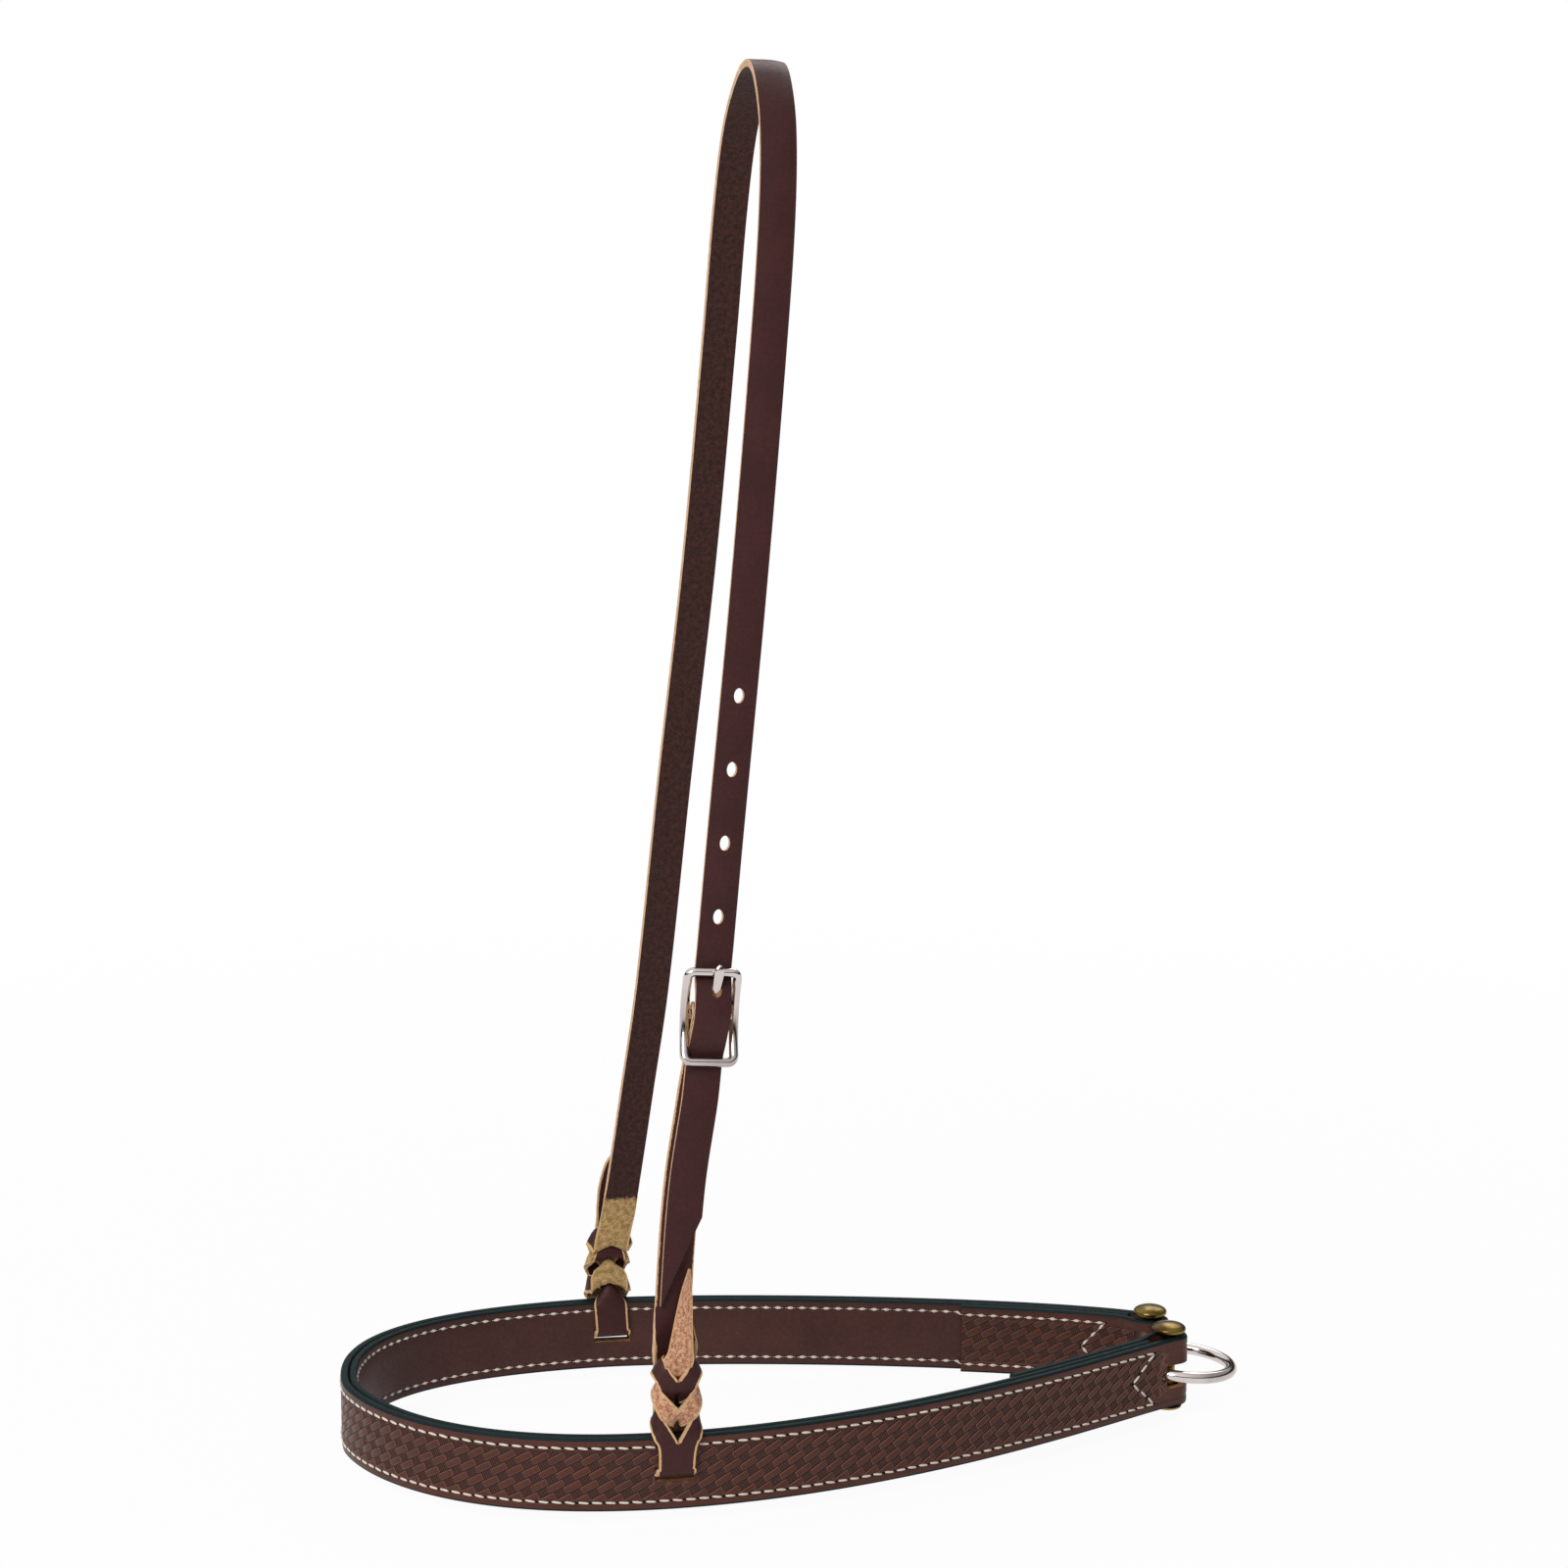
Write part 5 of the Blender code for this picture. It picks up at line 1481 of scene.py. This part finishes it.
# %% Build the cheek strap
CHEEK_ASIDE = ((60, -1.2), (135, -1.2), (150, 0.0))  # it shows beside the billet that lies on it
CHEEK_ROUTE = ((60, -1.4), (132, -1.4), (147.3, -3.0), (155, -0.2), (162.5, FOLD_R))
CHEEK_RAW = 0.75  # how much of the knife's pale line shows along its edges
TURN_BACK_H = 146.0
TURN_ROUTE = ((TURN_BACK_H, -6.0), (152.0, -4.8), (162.5, -FOLD_R))
TONGUE_SLOT_HALF = 2.2
bar = leg_frame(near_leg, BAR_H)


def bar_station(out, up):
    return plain_station(bar @ Vector((0, out, up)), bar.col[0].xyz * STRAP_HALF)


stations = list(knot_stations(near_leg, -1, False))[::-1]
stations += list(thread_stations(near_leg, -1))[::-1]
stations += knot_stations(near_leg, -1, True)
stations += leg_stations(
    near_leg, KNOT_TOP + 1, BAR_H - 0.6, CHEEK_ROUTE, CHEEK_ASIDE, CHEEK_RAW, dense=((130, BAR_H),)
)
stations += [bar_station(FOLD_R * math.cos(angle), FOLD_R * math.sin(angle)) for angle in arc(0, 180, 24)]
for k in range(1, 13):
    down = (TURN_BACK_H - BAR_H) * k / 12
    stations.append(bar_station(eased(TURN_ROUTE, 1, BAR_H + down), down))
cheek_strap = lay_strap("cheek_strap_leather", stations, near_flesh)
turn_grain_out(cheek_strap, len(cheek_strap.data.polygons) - 60 * COLUMNS)
low, high = (TONGUE_ASIDE - TONGUE_SLOT_HALF, -9, -5.5), (TONGUE_ASIDE + TONGUE_SLOT_HALF, 9, 5.0)
punch(cheek_strap, "tongue_slot_punch", bar, low, high)
settle(cheek_strap)
finish_piece(cheek_strap, "hanger", "strap_leather", "cheek_strap")

# %% [markdown]
# ## Screw posts
#
# Each post is a brass barrel with a domed head on top, that the strap is folded round, and a screw that
# goes up into it from below. Turned parts are drawn as half an outline and spun round their axis.

# %% Turn the posts
BORE_R = 1.7
BORE_TOP = 12.0
SHANK_R = 1.4
SHANK_TOP = 9.5
HEAD_R = 6.05
HEAD_DOME = 3.2
HEAD_RIM = 0.9
HEAD_LIFT = 1.3
FOOT_R = 5.0
FOOT_DROP = 0.6
top = BAND_HIGH + HEAD_LIFT
barrel = [
    (HEAD_R * math.sin(a), top + HEAD_RIM + (HEAD_DOME - HEAD_RIM) * math.cos(a)) for a in arc(0, 90, 12)
]
barrel += [(HEAD_R - 0.02, top + 0.5), (HEAD_R - 0.15, top + 0.2), (HEAD_R - 0.45, top)]
barrel += [(BARREL_R + 0.15, top), (BARREL_R, top - 0.15), (BARREL_R, GAP - FOOT_DROP)]
barrel += [(BORE_R, GAP - FOOT_DROP), (BORE_R, BORE_TOP), (0.0, BORE_TOP)]
screw = [(0.0, SHANK_TOP), (SHANK_R - 0.3, SHANK_TOP), (SHANK_R, SHANK_TOP - 0.3), (SHANK_R, -FOOT_DROP)]
screw += [(FOOT_R - 0.3, -FOOT_DROP), (FOOT_R - 0.08, -FOOT_DROP - 0.12)]
screw += [(FOOT_R * math.sin(a), -FOOT_DROP - 0.4 - 1.2 * math.cos(a)) for a in arc(90, 0, 10)]


def turned(name, profile, at):
    bm = bmesh.new()
    spin_round(bm, line_through(bm, [(r, 0, z) for r, z in profile]), (0, 0, 1), 48)
    put(bm, Matrix.Translation(at))
    return new_piece(name, bm, [antique_brass] * 3)


for side, word in WORDS.items():
    at = point(POST_X[side > 0], side * POST_Y, 0)
    post = turned(f"{word}_post_barrel_turned", barrel, at)
    finish_piece(post, "noseband", "antique_brass", f"{word}_post_barrel")
    post = turned(f"{word}_post_screw_turned", screw, at)
    low, high = (-8, -0.6, -FOOT_DROP - 3), (8, 0.6, -FOOT_DROP - 1)
    punch(post, f"{word}_driver_cut", Matrix.Translation(at), low, high)
    settle(post)
    finish_piece(post, "noseband", "antique_brass", f"{word}_post_screw")

# %% [markdown]
# ## The chin ring
#
# The ring is round wire, welded and plated. A small circle is spun once round the ring's axis. It rests
# at a slant behind both posts, as the CAD ring does.

# %% Spin the ring
RING_AT = point(153.2, 0.3, 11.0)
RING_MEAN_R = 18.0
RING_WIRE_R = 2.1
RING_HANGS = math.radians(5.5)
bm = bmesh.new()
bmesh.ops.create_circle(bm, segments=24, radius=RING_WIRE_R)
bmesh.ops.rotate(bm, cent=(0, 0, 0), matrix=Matrix.Rotation(math.radians(90), 3, "X"), verts=bm.verts)
bmesh.ops.translate(bm, vec=(RING_MEAN_R, 0, 0), verts=bm.verts)
spin_round(bm, whole(bm), (0, 0, 1), 96)
put(bm, Matrix.Translation(RING_AT) @ Matrix.Rotation(RING_HANGS, 4, "Y"))
finish_piece(new_piece("chin_ring_wire", bm, [satin_nickel]), "ring", "satin_nickel", "chin_ring")

# %% [markdown]
# ## The buckle
#
# The frame is one bent wire: a tall rectangle with round corners, bowed outwards at its ends, with a bar
# across its middle that carries the fold of the cheek strap and the tongue. A wire is a circle carried
# along a route. Here it is a grid wrapped round the circle, as the strap was wrapped round its section.

# %% Bend the frame
FRAME_R = 1.55
FRAME_HALF = (8.3, 14.8)
FRAME_ASIDE = 0.25
FRAME_TURN = math.radians(-3.0)
FRAME_CORNER = 2.2
FRAME_BOW = 3.6
AROUND = 16  # points round a wire


def wire_along(points, size_at, place, closed=False, side_way=None):
    """A round or flattened wire along points. size_at(k) gives its half width and half thickness."""
    count = len(points)
    rows = count if closed else count - 1
    bm = bmesh.new()
    bmesh.ops.create_grid(bm, x_segments=AROUND, y_segments=rows, size=1.0)
    for vert in bm.verts:
        turn = round((vert.co.x + 1) / 2 * AROUND) / AROUND * 2 * math.pi
        k = round((vert.co.y + 1) / 2 * rows) % count
        before = points[k - 1] if closed or k else points[0]
        after = points[(k + 1) % count] if closed or k < count - 1 else points[-1]
        along = (after - before).normalized()
        wide = side_way if side_way else along.cross(Vector((0, 1, 0))).normalized()
        deep = along.cross(wide).normalized()
        half_wide, half_deep = size_at(k)
        vert.co = points[k] + wide * half_wide * math.cos(turn) + deep * half_deep * math.sin(turn)
    bmesh.ops.remove_doubles(bm, verts=bm.verts, dist=1e-4)
    if not closed:
        bmesh.ops.holes_fill(bm, edges=[e for e in bm.edges if e.is_boundary], sides=0)
    bmesh.ops.recalc_face_normals(bm, faces=bm.faces)
    put(bm, place)
    return bm


corners = []
inset = [half - FRAME_CORNER for half in FRAME_HALF]
for sx, sz, start in ((1, 1, 0), (-1, 1, 90), (-1, -1, 180), (1, -1, 270)):
    for angle in arc(start, start + 90, 8):
        x, z = sx * inset[0] + FRAME_CORNER * math.cos(angle), sz * inset[1] + FRAME_CORNER * math.sin(angle)
        corners.append((x, z))
    if sx * sz > 0:
        corners += [(x - (sx * inset[0] + x) * t, z) for t in (0.2, 0.4, 0.6, 0.8)]
    else:
        corners += [(x, z * share) for share in (0.85, 0.7, 0.5, 0.3, 0.1, -0.1, -0.3, -0.5, -0.7, -0.85)]
frame_points = [Vector((x, FRAME_BOW * (z / FRAME_HALF[1]) ** 2, z)) for x, z in corners]
turn = bar.to_3x3().to_4x4() @ Matrix.Rotation(FRAME_TURN, 4, "Y")
buckle_place = Matrix.Translation(bar @ Vector((FRAME_ASIDE, 0, 0))) @ turn
bm = wire_along(frame_points, lambda k: (FRAME_R, FRAME_R), buckle_place, closed=True)
buckle_frame = new_piece("buckle_frame_wire", bm, [satin_nickel])
ends = [Vector((FRAME_HALF[0] * (k / 4 - 1), 0, 0)) for k in range(9)]
bm = wire_along(ends, lambda k: (BAR_R, BAR_R), buckle_place)
combine(buckle_frame, "middle bar", new_piece("buckle_middle_bar_wire", bm, [satin_nickel]), "UNION")
settle(buckle_frame)
finish_piece(buckle_frame, "frame", "satin_nickel", "buckle_frame")

# %% [markdown]
# The tongue is flat wire. Its eye is rolled round the bar, and its shaft goes out through the hole in
# use and rests on the frame's top, where its tip is rounded.

# %% The tongue
TONGUE_WIDE = 3.2
TONGUE_THICK = 1.6
EYE_R = BAR_R + GAP + TONGUE_THICK / 2
TONGUE_ROUTE = ((2.65, 1.6), (3.0, 4.4), (3.5, 7.3), (4.95, 11.2), (6.4, 14.6), (6.6, 17.6))
TIP_ROUND = 3  # points from the tip over which it is rounded
eye = [Vector((0, EYE_R * math.cos(angle), EYE_R * math.sin(angle))) for angle in arc(110, 355, 28)]
shaft = [Vector((0, out, up)) for out, up in TONGUE_ROUTE]
tongue_path = eye + smooth_route([eye[-1], *shaft, shaft[-1] * 2 - shaft[-2]], 0.8)


def tongue_size(k):
    from_tip = min(len(tongue_path) - 1 - k, TIP_ROUND)
    share = math.sqrt(max(0.06, 1 - (1 - from_tip / TIP_ROUND) ** 2))
    return TONGUE_WIDE / 2 * share, TONGUE_THICK / 2 * (0.5 + 0.5 * share)


tongue_place = Matrix.Translation(bar @ Vector((TONGUE_ASIDE, 0, 0))) @ bar.to_3x3().to_4x4()
bm = wire_along(tongue_path, tongue_size, tongue_place, side_way=Vector((1, 0, 0)))
buckle_tongue = new_piece("buckle_tongue_wire", bm, [satin_nickel])
finish_piece(buckle_tongue, "tongue", "satin_nickel", "buckle_tongue")

# %% [markdown]
#
# The finished model may not grow past the CAD model. Both boxes, of the CAD model and of the finished
# model, are worked out at the end.

# %% The sizes of both models
boxes = {"cad": cad_box, "visual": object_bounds()}
{name: [[float(n) for n in corner] for corner in box] for name, box in boxes.items()}
